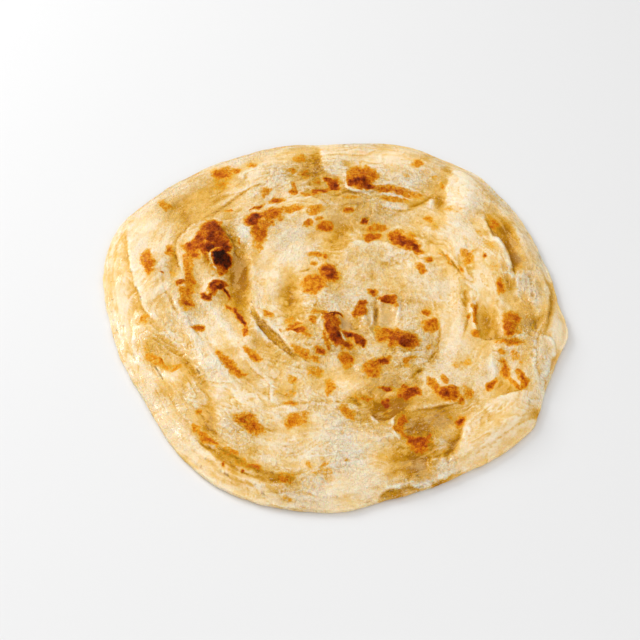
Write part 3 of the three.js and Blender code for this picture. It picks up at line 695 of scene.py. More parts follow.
CRUMPLES = tuple(
    Crumple(*row)
    for row in (
        (80, 6, 6.5, 13, 4, 0.8), (81, -33, 4, 17, -3, 0.3), (39, -80.5, 6, 5, 20, 0.5),
        (28, -87.5, 12, 3, 14, 0.5), (72, 16, 4, 6, 0, 0.3), (38, -70, 4, 4, 0, 0.35),
        (76, -20, 8, 18, 0, 0.14), (30, -66, 14, 14, 0, 0.16), (26, -30, 12, 10, 0, 0.14),
        (38, 12, 12, 16, 0, 0.12), (0, -72, 16, 12, 0, 0.1), (-20, -40, 12, 8, 0, 0.12),
        (-55, -20, 8, 20, 30, 0.12), (-8, 8, 12, 12, 0, 0.1),
    )
)

# Places where the skin is smooth, with how smooth it is as their depth.
SMOOTH_PLACES = (
    Stain(-88, 25, 9, 44, 5, 0.95),
    Stain(-75, 42, 8, 16, 5, 0.6),
    Stain(-74, 18, 6, 14, 8, 0.5),
    Stain(-76, -30, 10, 20, 20, 0.5),
    Stain(-62, -33, 9, 9, 0, 0.7),
    Stain(-50, -50, 5, 12, 0, 0.6),
    Stain(-38.5, 17, 5, 15, 3, 0.9),
    Stain(-17, 8, 5, 13, 0, 0.9),
    Stain(-27, 26, 6, 18, 5, 0.6),
    Stain(-15, 34, 8, 12, 0, 0.4),
    Stain(-47, -12, 6, 16, 35, 0.5),
    Stain(57, 64, 9, 18, -15, 0.8),
    Stain(28, 86, 22, 8, -15, 0.7),
    Stain(-20, 88, 16, 6, 10, 0.5),
    Stain(46, 2, 6, 30, 0, 0.8),
    Stain(62, 2, 6, 20, 0, 0.9),
    Stain(65, 30, 6, 14, 10, 0.5),
    Stain(76, 26, 4, 14, 5, 0.6),
    Stain(91, -15, 6, 16, 0, 0.95),
    Stain(74, -2, 8, 8, 0, 0.4),
    Stain(55, -25, 8, 8, 0, 0.5),
    Stain(22, -6, 4.5, 7, 0, 0.8),
    Stain(64, -61, 16, 17, -50, 0.8),
    Stain(5, -8, 2, 6, 8, 0.8),
    Stain(17, -52, 7, 6, 0, 0.9),
    Stain(30, -61, 5, 6, 0, 0.8),
    Stain(66, -44, 6, 4, 0, 0.8),
    Stain(-20, -62, 14, 6, 10, 0.3),
    Stain(-45, -80, 8, 32, 53, 0.7),
    Stain(62, -12, 5, 10, 0, 1.0),
    Stain(-58, 62, 12, 12, 0, 0.1),
    Stain(-40, -42, 10, 8, 0, 0.5),
)

WAVES = (
    Wave(71, 20, 0.8, 0.45),
    Wave(53, 110, 2.1, 0.4),
    Wave(37, 65, 4.4, 0.3),
    Wave(29, 155, 1.3, 0.25),
    Wave(19, 35, 5.2, 0.2),
    Wave(14, 125, 3.4, 0.16),
)

LAYERINGS = (Layering(13.0, 12, 3.2, 0.42), Layering(7.0, 22, 2.6, 0.22))

SPOTS = tuple(
    Spot(*row)
    for row in (
        # The large blister north-west of the middle, and the arch of char below it.
        (-48.8, 44, 10, 15, 22, BROWN), (-45, 37, 8.5, 13, 14, BROWN),
        (-44.8, 29.5, 7.4, 12, 4, BURNT), (-54.4, 40, 5, 12, -32, BROWN),
        (-55.4, 37, 8.6, 6.4, 10, BROWN), (-51.5, 36, 5, 6, 0, BROWN),
        (-49, 35.2, 5, 4, 0, DARK), (-47, 36, 4, 4.6, 0, DARK), (-42, 35, 3, 4, 0, DARK),
        (-57, 33.4, 4, 6, 30, RUSSET), (-57.6, 35.6, 3.6, 4, 0, RUSSET),
        (-45, 23.5, 5, 5, 0, RUSSET), (-47.4, 12.6, 6.2, 4, 60, RUSSET),
        (-45, 13.6, 4.2, 3.6, 60, DARK),
        # West.
        (-75, 28.5, 5, 13, 6, TOAST), (-74.5, 28, 2.5, 5, 10, RUSSET),
        (-66.3, 35, 3.3, 5, 0, TOAST), (-66, 28.6, 2.8, 2.6, 0, FAINT),
        (-65, 23.5, 2.6, 4, 0, FAINT), (-62, 16.5, 3.4, 2.6, 40, RUSSET),
        (-59, 6, 6, 8, 0, TOAST), (-59, 5.4, 3.2, 4.4, 0, RUSSET),
        (-53.5, -8, 3, 5, 75, BROWN), (-76.5, -1.5, 3.5, 6, -30, GOLD),
        (-74, -16, 5, 7, 0, FAINT), (-26, -1, 2.5, 4, 30, TOAST),
        # North-west.
        (-44.5, 79.5, 10, 7.4, 0, TOAST), (-43.5, 75, 9, 8, -20, FAINT),
        (-44.5, 80, 3.6, 6, -60, RUSSET), (-45, 72, 5.4, 4.4, 0, TOAST),
        (-46.5, 76, 4, 6.6, -20, GOLD), (-39, 80.5, 3, 3, 0, TOAST),
        (-68, 61, 4.5, 8, 55, GOLD), (-32, 84.5, 4, 4, 0, GOLD),
        (-42, 57.3, 1.2, 3, 90, TOAST), (-31.4, 50.4, 7, 7.4, 0, BROWN),
        (-28.5, 58.5, 1.6, 3.4, -50, BROWN), (-29, 43.6, 7, 10.5, 0, RUSSET),
        (-30, 36, 3.4, 7, 0, GOLD), (-23.6, 53.4, 6.2, 9.4, -60, RUSSET),
        (-15, 56, 4, 10, -85, GOLD), (-24, 48, 3, 3, 0, TOAST),
        (-26.4, 66.4, 4.4, 5.4, -30, GOLD), (-21.5, 61.8, 2.6, 5, 90, TOAST),
        (-14, 69.5, 1.8, 4, 0, TOAST), (-14.4, 66.3, 3.4, 3, 0, RUSSET),
        # North.
        (-11.5, 86.5, 5, 3.5, 0, GOLD), (-8.8, 77.5, 4, 5, 20, TOAST),
        (-14, 79.5, 3.5, 3, 0, GOLD), (-4, 73, 3.5, 4, 0, GOLD),
        (-4, 66.2, 3, 7.4, 84, BROWN), (-5, 64.8, 3, 3, 0, RUSSET),
        (-9, 65, 2.4, 4.6, 80, RUSSET), (2.6, 69.8, 6, 8, 0, DARK),
        (1.6, 72, 3.4, 3, 0, DARK), (15.3, 74.1, 14, 11, 0, RUSSET),
        (17.5, 71, 5, 5, 0, BROWN), (14, 67, 6, 3.4, 0, RUSSET),
        (13, 70.2, 9, 5, 12, BROWN), (18, 68, 5.4, 5.4, 0, BROWN),
        (10.5, 61.3, 1.6, 8, 86, GOLD), (26, 65.8, 5.4, 11, 82, TOAST),
        (34, 62.8, 4.8, 13, 66, TOAST), (29, 64.6, 2.6, 9, 74, RUSSET),
        (28.5, 59.6, 3.4, 13, 78, GOLD), (40.5, 57.8, 2.4, 10, -55, FAINT),
        (39.5, 80.3, 4.5, 4.5, 0, GOLD), (29, 76, 2, 2.4, 0, FAINT),
        (35, 73, 2.6, 3, 0, FAINT), (47, 71, 2.2, 2.6, 0, GOLD), (49.5, 66, 2, 3, 0, GOLD),
        (9, 53.5, 3.6, 3.2, 0, RUSSET), (15, 47.6, 2.8, 3.2, 0, BROWN),
        (-5.5, 55.5, 8, 4.5, 0, GOLD),
        # North-east.
        (42.3, 46.4, 3.6, 4.6, 0, TOAST), (44.6, 42.6, 3.6, 5, 20, FAINT),
        (53.5, 51.8, 8, 4.6, -25, FAINT), (69.8, 42, 5, 10, 20, TOAST),
        (60, 27, 3, 4, 0, FAINT), (74, 39, 3, 5, 0, FAINT), (63, 38.5, 3, 5, 20, FAINT),
        (67, 31, 5, 5, 0, FAINT), (57, 24.5, 3.8, 8.5, 0, GOLD),
        (63.6, 25, 1.2, 2.4, 0, BROWN), (67, 19, 3, 6, 0, FAINT),
        (69.4, 8, 3.2, 8, 0, RUSSET), (74, 9, 2.6, 5, 0, FAINT),
        # The middle.
        (-1.5, 45.5, 7, 6, 0, RUSSET), (-8, 47, 4, 4, 0, TOAST),
        (-4.5, 49.5, 3, 3, 0, TOAST), (20, 43, 8.5, 4.2, 0, TOAST),
        (18.6, 38, 7.6, 4.2, 0, RUSSET), (31, 35.4, 7, 13.6, 55, RUSSET),
        (29, 34.5, 3.6, 9, 50, BROWN), (33, 31, 3, 3, 0, TOAST), (34, 38, 3, 3, 0, TOAST),
        (35.6, 31.4, 3.6, 7, 40, BROWN), (40.5, 24, 3.4, 3, 0, TOAST),
        (37.3, 18.5, 3, 5.5, 20, TOAST), (-6, 29.8, 5, 2.8, 0, TOAST),
        (-2, 29, 1.6, 3, 0, RUSSET), (-6.6, 24, 1.8, 2.4, 80, TOAST),
        (-0.1, 18.3, 6, 11, 12, DARK), (-1, 17.5, 4, 6, 12, DARK),
        (-7, 13.4, 9.6, 10, 30, TOAST), (-6.3, 10, 2, 3.4, 0, RUSSET),
        (17, 7, 3.2, 3.8, 0, RUSSET), (11.5, -0.8, 3.4, 7.5, -28, BROWN),
        (23, 3.4, 3.6, 6.4, 80, BROWN), (26.3, -1, 1.2, 4, 0, GOLD),
        (38.3, -4.6, 3, 3.2, 0, RUSSET), (39, -11.5, 5.6, 6.6, 0, RUSSET),
        (4.6, -20, 4.4, 6, 30, BROWN), (4, -20, 3, 4, 30, DARK),
        (12.6, -3, 3.4, 4.4, -28, BROWN), (-0.4, 15.6, 4.8, 3.8, 0, BROWN),
        (-2.4, 17.4, 3, 5, 10, BROWN), (-2, 17, 4, 5.4, 10, BROWN),
        (-5.4, 11, 4, 4.4, 0, RUSSET), (-57.5, 28, 3, 6, 0, GOLD),
        (-27, 46.6, 4, 4, 0, TOAST), (-28, 49, 3, 3, 0, RUSSET),
        (-41, 3, 2, 3.4, 40, RUSSET), (-20, 51, 3, 3, 0, GOLD), (-7, -1, 3, 3, 0, GOLD),
        (5, -31, 3, 3, 0, TOAST), (24, -15.5, 6, 14, 75, RUSSET),
        (29, -18.5, 7.5, 9, 60, RUSSET), (28.6, -19, 5.6, 6.6, 60, BROWN),
        (19, -16, 5, 6, 0, TOAST), (-14.5, -11.3, 2.6, 9.5, 80, BROWN),
        (-15.5, -8.5, 3, 3, 0, RUSSET), (-17, -5, 4.5, 3, 0, GOLD),
        (-7.5, -6, 2.6, 4, 20, TOAST), (-12.5, -22.5, 4.5, 8, 40, TOAST),
        (-5.6, -22, 4, 4.4, 0, RUSSET), (-11, -13, 2, 4, 60, TOAST),
        (23, -20, 3, 3, 0, TOAST), (-8, -26.5, 2, 4, 40, TOAST),
        (-2, -20.5, 1.8, 3, 0, RUSSET), (4.5, -27, 5.5, 6.5, 0, TOAST),
        (15, -32, 8, 9, -20, TOAST), (18.5, -28.5, 3.6, 5, -50, BROWN),
        (15.5, -36, 4, 2.4, 0, RUSSET), (37.5, -22.5, 2, 2, 0, GOLD),
        (53, -13, 1.2, 2, 0, FAINT), (54, -8, 1.5, 1.8, 0, RUSSET),
        (57.2, -17, 4, 4.4, 0, TOAST),
        # East.
        (71.5, -11, 6.5, 8, 0, RUSSET), (74, -17, 2, 3, 0, GOLD),
        (70.5, -16.5, 4, 6, -20, RUSSET), (70.3, -21.8, 2.8, 9, 84, TOAST),
        (66.5, -26.8, 2.6, 2.8, 0, TOAST), (71.5, -28, 2.2, 5, 0, GOLD),
        (66.2, -36, 4, 8.4, 5, RUSSET), (80.3, -13, 1.4, 5, -10, GOLD),
        (73.5, -33, 1.5, 2, 0, FAINT),
        # South-east.
        (50, -32, 10, 4, 20, FAINT), (43.3, -46.2, 9, 8.4, 0, TOAST),
        (42, -46, 4, 5.4, 0, BROWN), (45.6, -47.4, 2.6, 4, 0, RUSSET),
        (38.3, -41.5, 3.4, 5.5, 20, TOAST), (42.5, -39, 3, 4, 30, TOAST),
        (50.5, -46, 4, 7, 20, GOLD), (48, -50, 3, 3, 0, TOAST),
        (46, -59.8, 3.6, 5, -50, RUSSET), (43, -57, 3, 3, 0, GOLD),
        (27.6, -45.6, 6.4, 9.6, -45, BROWN), (31.5, -44.5, 3.6, 5, 20, RUSSET),
        (25, -44.8, 4.6, 4.4, 0, RUSSET),
        (26.4, -43, 4.6, 3.4, 0, RUSSET), (18.8, -43, 1.6, 5, 90, BROWN),
        (19, -50.5, 4.5, 4.5, 0, BROWN), (20.4, -55, 7, 4, 0, GOLD),
        (19.5, -47.8, 2, 2.4, 0, BROWN), (24.4, -58, 4.4, 6, -20, RUSSET),
        (23.6, -62.5, 4.4, 6, 20, RUSSET), (31, -69.6, 7.8, 6.6, 0, RUSSET),
        (31.4, -70.6, 5, 3.4, 0, BROWN), (34, -66.4, 2.4, 3.6, -20, TOAST),
        (22, -76.5, 2.4, 2.4, 0, GOLD), (39, -75, 5, 2.4, 0, FAINT),
        # South.
        (6.8, -47, 5.4, 3.6, 0, GOLD), (11, -47, 4.4, 3.6, 0, RUSSET),
        (4, -53.4, 3.4, 6.4, 35, TOAST), (-8.5, -33, 5.5, 6, 30, GOLD),
        (-2.6, -40.5, 4.4, 7, 0, TOAST), (-19.5, -41, 7.5, 9.5, 0, FAINT),
        (-17, -36.5, 3, 4, 0, GOLD), (-18.5, -47.6, 1.4, 5, 84, TOAST),
        (-15.5, -56.5, 7, 9.4, -68, GOLD), (-17, -57, 4, 5, -60, TOAST),
        (-34, -57, 7, 14, 52, TOAST), (-33.3, -57.2, 5, 10.4, 52, RUSSET),
        (-11.6, -78, 2, 4.4, 25, FAINT), (-5.6, -77.6, 2, 5, -50, FAINT),
        (-7, -80.6, 3, 10, -82, FAINT), (-3.8, -82.8, 3.4, 4.4, 0, FAINT),
        (-6.6, -74.3, 2.4, 2, 0, FAINT), (2.8, -76, 1.8, 3, 70, FAINT),
        (16, -75.5, 4, 3.5, 0, FAINT), (-44, -75.5, 1, 1.2, 0, DARK),
        (-36.5, -79.3, 0.9, 1.2, 0, DARK),
        # South-west.
        (-33, -22, 3, 9, 40, TOAST), (-54.5, -58, 4, 4, 0, GOLD),
        (-53.5, -50.5, 2.4, 2.4, 0, GOLD), (-41.5, -70, 5, 5, 0, TOAST),
        (-21, -83, 4.5, 7.5, 70, TOAST), (-19.5, -92, 1.2, 3.5, 86, FAINT),
        (-88.6, -8, 0.9, 1, 0, TOAST), (-71.5, -51, 0.7, 2, 30, TOAST),
        (-69.6, 22.4, 0.8, 0.8, 0, BROWN),
    )
)

STREAKS = (
    Streak(((-60, 29), (-58.5, 21), (-57, 14), (-58.5, 9)), 3.6, TOAST),
    Streak(((-62, 14), (-60, 11), (-59, 7)), 3.4, TOAST),
    Streak(((-57.5, 34), (-59.4, 30), (-59, 24)), 3.4, TOAST),
    Streak(((-53, 11.5), (-50.8, 8.4), (-48.8, 10.4)), 2.6, DARK),
    Streak(((-49.8, 12.5), (-48.6, 14.8), (-46.6, 15.8), (-44.5, 14.4)), 2.1, DARK),
    Streak(((-43.5, 13), (-42, 10), (-41.2, 6.5)), 1.5, DARK),
    Streak(((-43, 4.4), (-39.4, 1.8), (-37.8, -2), (-36, -6), (-34, -9.4)), 1.9, BROWN),
    Streak(((-37, -9.8), (-35, -10), (-34.6, -13)), 1.8, RUSSET),
    Streak(((-52, 35), (-51, 31), (-50.2, 26.6)), 2.6, RUSSET),
    Streak(((-49.5, 36.5), (-45, 35.4), (-41, 36.6)), 2.4, DARK),
    Streak(((-7, 0), (-4, -2), (-2, -3)), 2.4, GOLD),
    Streak(((-2.4, -3.6), (-1.4, -8), (0.2, -13), (2.4, -18), (6, -22.4)), 5.6, BROWN),
    Streak(((0.8, -3.4), (0.8, -7), (1.2, -11)), 3.0, BROWN),
    Streak(((-4.4, -3.4), (0, -3.2), (4.2, -3.4)), 1.2, DARK),
    Streak(((1.2, -8), (1.6, -13), (3.4, -18), (6, -22)), 3.2, DARK),
    Streak(((-4.5, -12), (-3, -17), (-1.5, -21)), 1.6, TOAST),
    Streak(((4.2, -12.6), (7, -14.8), (10.4, -17.8), (13, -21.4)), 4.0, DARK),
    Streak(((20, 2.4), (23, 1.6), (26, 0.6)), 1.0, DARK),
    Streak(((29, -32), (27.6, -29.5), (29.5, -27), (32.5, -27.3)), 1.8, TOAST),
    Streak(((-46, -20), (-43, -26), (-40, -30), (-35, -33)), 4.6, TOAST),
    Streak(((-40.5, -28.5), (-37.5, -32)), 1.8, RUSSET),
    Streak(((-74, -17), (-73, -22), (-67, -27), (-61.5, -27)), 3.2, GOLD),
    Streak(((-70, -23), (-66, -28)), 1.6, TOAST),
    Streak(((56.6, -2), (57.4, -8), (58.2, -15)), 1.5, TOAST),
    Streak(((58.3, -1), (57.6, -6), (58.8, -9.5)), 1.3, RUSSET),
    Streak(((59.3, -46.5), (61, -42.6), (62.7, -39.8)), 1.8, TOAST),
    Streak(((67, -39.5), (69, -42.5), (71.5, -46)), 2.0, TOAST),
    Streak(((71.5, -36), (72.8, -40), (74, -43.4), (72, -46), (70, -45.6)), 2.4, RUSSET),
    Streak(((69, -10), (69.5, -14), (71, -18)), 2.6, RUSSET),
    Streak(((-56, -57), (-50, -64.5), (-46.5, -67)), 2.4, TOAST),
    Streak(((-39.5, -73), (-35, -76), (-29, -79)), 2.8, TOAST),
    Streak(((46, 28), (48, 25), (50, 21)), 0.8, TOAST),
    Streak(((52, 20.5), (53.5, 18), (54.8, 15.5)), 1.1, TOAST),
    Streak(((-37.6, 40), (-37.3, 37.5), (-36.7, 36)), 0.7, RUSSET),
    Streak(((-27, 49), (-23.5, 51), (-20, 53.6)), 1.4, RUSSET),
    Streak(((-33, 56), (-30, 58)), 0.6, BROWN),
    Streak(((24, -64.5), (27, -67.4), (30, -69)), 3.0, RUSSET),
    Streak(((28, -72.6), (31.5, -73.4), (35, -72.4)), 3.4, RUSSET),
)


# ---- The shape of the bread ----


@dataclass(frozen=True)
class Outline:
    """The bread's edge seen from above, from its distance to the middle at even steps of angle."""

    radii: tuple[float, ...] = OUTLINE_RADII
    ragged: float = 0.35
    seed: int = 5

    def radius(self, angle: Array) -> Array:
        """Works out the smooth edge.

        Args:
            angle: Angles, in radians.

        Returns:
            The edge's distance from the middle at each.
        """
        count = len(self.radii)
        place = np.mod(angle / (2 * np.pi) * count, count)
        index = np.floor(place).astype(int)
        four = (np.array(self.radii)[(index + k) % count] for k in (-1, 0, 1, 2))
        return spline(*four, place - index)

    def torn(self, angle: Array) -> Array:
        """Works out the torn edge.

        Args:
            angle: Angles, in radians.

        Returns:
            How far it stands out from the smooth edge at each.
        """
        noise = Noise(self.seed)
        share = np.mod(angle / (2 * np.pi), 1)
        level = np.zeros(angle.shape)
        waves = sum(
            noise.smooth(level + cells, share * cells, cells) * (40 / cells) ** 0.7 for cells in (40, 90, 200)
        )
        return self.ragged * waves

    def inset(self, x: Array, y: Array) -> Array:
        """Returns how far in from the smooth edge points are, along their own radius."""
        return self.radius(np.arctan2(y, x)) - np.hypot(x, y)

    def middle(self) -> Array:
        """Finds the middle of the outline's bounding box.

        Returns:
            Its x and y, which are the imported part's origin.
        """
        angle = np.linspace(0, 2 * np.pi, 240, endpoint=False)
        points = np.stack([np.cos(angle), np.sin(angle)], axis=1) * self.radius(angle)[:, None]
        return (points.min(axis=0) + points.max(axis=0)) / 2


@dataclass
class Dough:
    """The relief of the bread's top and what its surface is like there."""

    outline: Outline = field(default_factory=Outline)
    thickness: float = 5.6
    rim_middle: float = 1.6
    rim_reach: float = 4.6
    coil_centre: tuple[float, float] = COIL_CENTRE
    coil_pitch: float = 26
    coil_start: float = 0.75
    coil_swell: float = 0.8
    groove_width: float = 4.0
    coil_inner_radius: float = 22
    fold_high_share: float = 0.6
    fold_reach_high: float = 9
    fold_reach_low: float = 4.5
    fold_margin: float = 30
    fold_fine_reach: float = 3.5
    path_step: float = 0.6
    path_wander: tuple[float, float] = (0.5, 4.3)
    path_fray: tuple[float, float] = (0.22, 1.7)
    rim_wander: float = 0.8
    snap_distance: float = 0.3
    full_amber: float = 1.05
    blotch_size: float = 4.4
    blotch_depth: float = 0.3
    layers_plain: float = 0.15
    layers_flaky: float = 0.95
    grain_plain: float = 0.2
    grain_flaky: float = 0.9
    blister_size: float = 1.6
    blister_height: float = 0.2
    lean_rim: float = 2.5
    lip_reach: float = 0.8
    lip_tuck: float = 1.4
    lip_thickness: float = 0.45
    seam_offset: float = 0.3
    seam_width: float = 0.45
    under_edge_shadow: float = 0.9
    crumple_width: float = 3.4
    crumple_length: float = 4.2
    crumple_fine: float = 0.6
    coarse_size: float = 19
    coarse_mean: float = 0.62
    coarse_change: float = 0.3
    layer_bend: float = 5
    layer_bend_size: float = 24
    layer_patch: float = 15
    layer_foot_shade: float = 0.65
    layer_brink_highlight: float = 0.8
    grain_bend: float = 2.2
    grain_bend_size: float = 9
    stretch_size: float = 2.1
    stretch_height: float = 0.13
    wrinkle_size: float = 4.2
    wrinkle_height: float = 0.18
    bubble_size: float = 2.6
    bubble_height: float = 0.5
    puff_size: float = 5.5
    puff_height: float = 0.36
    film_size: float = 3.3
    film_width: float = 0.28
    film_plain: float = 0.06
    film_flaky: float = 0.16
    mark_wander: float = 0.9
    mark_wander_size: float = 4.1
    mark_fray: float = 0.5
    mark_fray_size: float = 1.6
    mark_ragged: float = 0.6
    glow_share: float = 0.36
    glow_limit: float = 0.6
    spread_share: float = 0.2
    core_share: float = 0.48
    seed: int = 11

    def __post_init__(self) -> None:
        """Draws the noise, and runs every sheet's edge, with its own unevenness."""
        self.noise = Noise(self.seed)
        self.folds = [(self._torn(smooth_path(fold.path)), fold) for fold in FOLDS]
        for sheet in RIM_SHEETS:
            count = max(3, int((sheet.end - sheet.start) / 3))
            angle = np.radians(np.linspace(sheet.start, sheet.end, count))
            uneven = self.rim_wander * self.noise.smooth(angle * 9, angle * 0 + sheet.inset)
            radius = self.outline.radius(angle) - sheet.inset + uneven
            path = np.stack([radius * np.cos(angle), radius * np.sin(angle)], axis=1)
            fold = Fold((), sheet.drop, edge=0.8, lip=0.1, amber=0.16, reach=1.2, pale=0.25)
            self.folds.append((self._torn(path), fold))

    def _torn(self, path: Array) -> Array:
        """Frays a path.

        Args:
            path: The path's points, one row each.

        Returns:
            Points at even steps along it that wander a little to both sides.
        """
        length = np.concatenate([[0], np.cumsum(np.hypot(*np.diff(path, axis=0).T))])
        even = np.linspace(0, length[-1], max(4, int(length[-1] / self.path_step)))
        x, y = np.interp(even, length, path[:, 0]), np.interp(even, length, path[:, 1])
        along_x, along_y = np.gradient(x), np.gradient(y)
        size = np.hypot(along_x, along_y)
        (wander, wander_length), (fray, fray_length) = self.path_wander, self.path_fray
        off = wander * self.noise.smooth(x / wander_length, y / wander_length)
        off += fray * self.noise.smooth(x / fray_length + 60, y / fray_length)
        off *= fade(np.linspace(0, 1, len(x)))
        return np.stack([x - off * along_y / size, y + off * along_x / size], axis=1)

    def snap(self, x: Array, y: Array) -> tuple[Array, Array]:
        """Moves points that lie beside a sheet's edge onto it.

        Args:
            x: The points' x.
            y: The points' y.

        Returns:
            The new x and y.
        """
        x, y = x.copy(), y.copy()
        for path, _ in self.folds:
            near = beside(path, 1, x, y)
            where = nearest_on(path, x[near], y[near])
            inside = (where.along > 0.01) & (where.along < 0.99)
            caught = (np.abs(where.distance) < self.snap_distance) & inside
            move = where.distance[caught, None] * where.left[caught]
            x[near[caught]] -= move[:, 0]
            y[near[caught]] -= move[:, 1]
        return x, y

    def survey(self, x: Array, y: Array) -> dict[str, Array]:
        """Works out the top at points.

        Args:
            x: The points' x.
            y: The points' y.

        Returns:
            z, the height; shift_x and shift_y, how far the surface leans over; amber, how thin and oily it
            is, with painted shade in hollows and under edges; pale, how dry, with painted highlights on
            edges and ridges; brown, how far the griddle has browned it; and crinkle, how flaky it is.
        """
        inset = np.maximum(self.outline.inset(x, y), 0)
        relief = self._coil(x, y) + self._waves(x, y)
        amber, pale, brown = (np.zeros(x.shape) for _ in range(3))
        shift = np.zeros((len(x), 2))
        for path, fold in self.folds:
            self._add_fold(path, fold, x, y, relief, amber, pale, shift)
        for mound in MOUNDS:
            close = mound.soft(x, y)
            relief += mound.rise * close
            amber += mound.amber * close
            pale += mound.pale * close
        for stain in STAINS:
            amber += stain.depth * stain.soft(x, y)
        for place in DULL_PLACES:
            pale -= place.depth * place.soft(x, y)
        seared = np.zeros(x.shape)
        for line in LINES:
            where = nearest_on(smooth_path(line.path), x, y)
            close = fade(where.along) * np.exp(-((where.distance / line.half) ** 2))
            relief += line.height * close
            amber += line.amber * close
            pale += line.pale * close
            seared += line.brown * close
        crinkle = self._coarseness(x, y)
        relief += self._crumples(x, y, amber, pale, crinkle)
        blotches = self.noise.rough(x / self.blotch_size + 21, y / self.blotch_size, 3)
        amber *= 1 - self.blotch_depth / 2 + self.blotch_depth * blotches
        relief += (self.layers_plain + self.layers_flaky * crinkle) * self._layers(x, y, amber, pale)
        relief += (self.grain_plain + self.grain_flaky * crinkle) * self._grain(x, y, crinkle)
        self._add_browning(x, y, brown)
        brown += seared
        blisters = self.noise.rough(x / self.blister_size, y / self.blister_size, 2)
        relief += self.blister_height * np.clip(brown, 0, 1) * blisters
        grown = 1 - np.exp(-inset / self.rim_reach)
        near_rim = ease(0, self.lean_rim, inset)
        return {
            "z": self.rim_middle + grown * (self.thickness - self.rim_middle + relief),
            "shift_x": shift[:, 0] * near_rim,
            "shift_y": shift[:, 1] * near_rim,
            "amber": self.full_amber * (1 - np.exp(-np.maximum(amber, 0))) + np.minimum(amber, 0),
            "pale": pale,
            "brown": brown,
            "crinkle": crinkle,
        }

    def _round_coil(self, x: Array, y: Array) -> tuple[Array, Array]:
        """Returns points' distance from the coil's centre, and their angle round it as a share of a turn."""
        dx, dy = x - self.coil_centre[0], y - self.coil_centre[1]
        return np.hypot(dx, dy), np.mod(np.arctan2(dy, dx) / (2 * np.pi), 1)

    def _coil(self, x: Array, y: Array) -> Array:
        """Works out the swell of the coil's turns and the grooves between them.

        Args:
            x: The points' x.
            y: The points' y.

        Returns:
            The height.
        """
        radius, share = self._round_coil(x, y)
        turns = radius / self.coil_pitch + share - self.coil_start
        from_groove = self.coil_pitch * np.abs(turns - np.round(turns))
        grown = ease(self.coil_inner_radius, self.coil_inner_radius + self.coil_pitch / 2, radius)
        return self.coil_swell * (0.5 - grown * np.exp(-((from_groove / self.groove_width) ** 2)))

    def _waves(self, x: Array, y: Array) -> Array:
        """Works out the slow unevenness of the dough.

        Args:
            x: The points' x.
            y: The points' y.

        Returns:
            The height.
        """
        total = np.zeros(x.shape)
        for wave in WAVES:
            heading = math.radians(wave.heading)
            along = x * math.cos(heading) + y * math.sin(heading)
            total += wave.height * np.sin(2 * np.pi * along / wave.length + wave.phase)
        return total

    def _add_fold(
        self,
        path: Array,
        fold: Fold,
        x: Array,
        y: Array,
        relief: Array,
        amber: Array,
        pale: Array,
        shift: Array,
    ) -> None:
        """Adds one sheet's edge to the relief, the surface and the lean, with painted shade below the edge
        and a painted highlight on its brink.

        Args:
            path: The points that the edge follows.
            fold: The edge's own sizes.
            x: The points' x.
            y: The points' y.
            relief: Heights, added to.
            amber: Added to.
            pale: Added to.
            shift: The lean of the surface in x and y, added to.
        """
        near = beside(path, self.fold_margin, x, y)
        coarse = nearest_on(path[:: max(1, min(6, len(path) // 4))], x[near], y[near])
        close = np.abs(coarse.distance) < self.fold_fine_reach
        fine = nearest_on(path, x[near[close]], y[near[close]])
        share = ease(self.fold_fine_reach, 2, np.abs(coarse.distance[close]))
        d, along, left = coarse.distance.copy(), coarse.along.copy(), coarse.left.copy()
        d[close] += share * (fine.distance - d[close])
        along[close] += share * (fine.along - along[close])
        left[close] = fine.left
        strength, away = fade(along), np.abs(d)
        up = self.fold_high_share * np.exp(-away / self.fold_reach_high)
        down = (self.fold_high_share - 1) * np.exp(-away / self.fold_reach_low)
        fallen = ease(fold.edge * 0.3, -fold.edge * 0.7, d)
        relief[near] += fold.drop * strength * (up + (down - up) * fallen)
        over = np.exp(-away / self.lip_reach) * (1 - self.lip_tuck * ease(0, -self.lip_thickness, d))
        shift[near] -= (fold.lip * strength * over)[:, None] * left
        # Amber below the edge: oily dough and painted shade.
        below = ease(0.3 * fold.edge, -0.4 * fold.edge, d)
        amber[near] += fold.amber * strength * np.exp(-((away / fold.reach) ** 1.4)) * below
        # A thin line of painted shadow just under the edge.
        contact_shadow = np.exp(-(((d + self.seam_offset) / self.seam_width) ** 2)) * ease(2.4, 0.7, fold.edge)
        amber[near] += self.under_edge_shadow * fold.amber * strength * contact_shadow
        # Pale on the brink of the edge: dry dough and a painted highlight.
        brink = (d - 0.3 - 0.4 * fold.edge) / (0.6 + 0.5 * fold.edge)
        pale[near] += fold.pale * strength * np.exp(-(brink**2))

    def _crumples(self, x: Array, y: Array, amber: Array, pale: Array, crinkle: Array) -> Array:
        """Works out the crumpled patches, with painted highlights on their ridges and painted shade in their
        hollows.

        Args:
            x: The points' x.
            y: The points' y.
            amber: How oily the surface is, added to in their hollows as painted shade.
            pale: How light it is, added to on their ridges as painted highlights.
            crinkle: How flaky it is, changed in place.

        Returns:
            The patches' height.
        """
        total = np.zeros(x.shape)
        u, v = x / self.crumple_width, y / self.crumple_length
        ridges = 1 - 2 * np.abs(self.noise.smooth(u + 9, v))
        ridges += self.crumple_fine * (1 - 2 * np.abs(self.noise.smooth(2 * u + 70, 2 * v + 40)))
        for patch in CRUMPLES:
            close = np.exp(-(patch.distance(x, y) ** 4))
            total += patch.height * close * ridges
            # Painted highlights on the ridges and painted shade in the hollows.
            pale += min(0.3, 0.8 * patch.height) * close * ease(0.2, 1.0, ridges)
            amber += min(0.2, 0.8 * patch.height) * close * ease(0.1, -0.9, ridges)
            np.copyto(crinkle, np.maximum(crinkle, close * min(0.8, 0.35 + patch.height)))
        return total

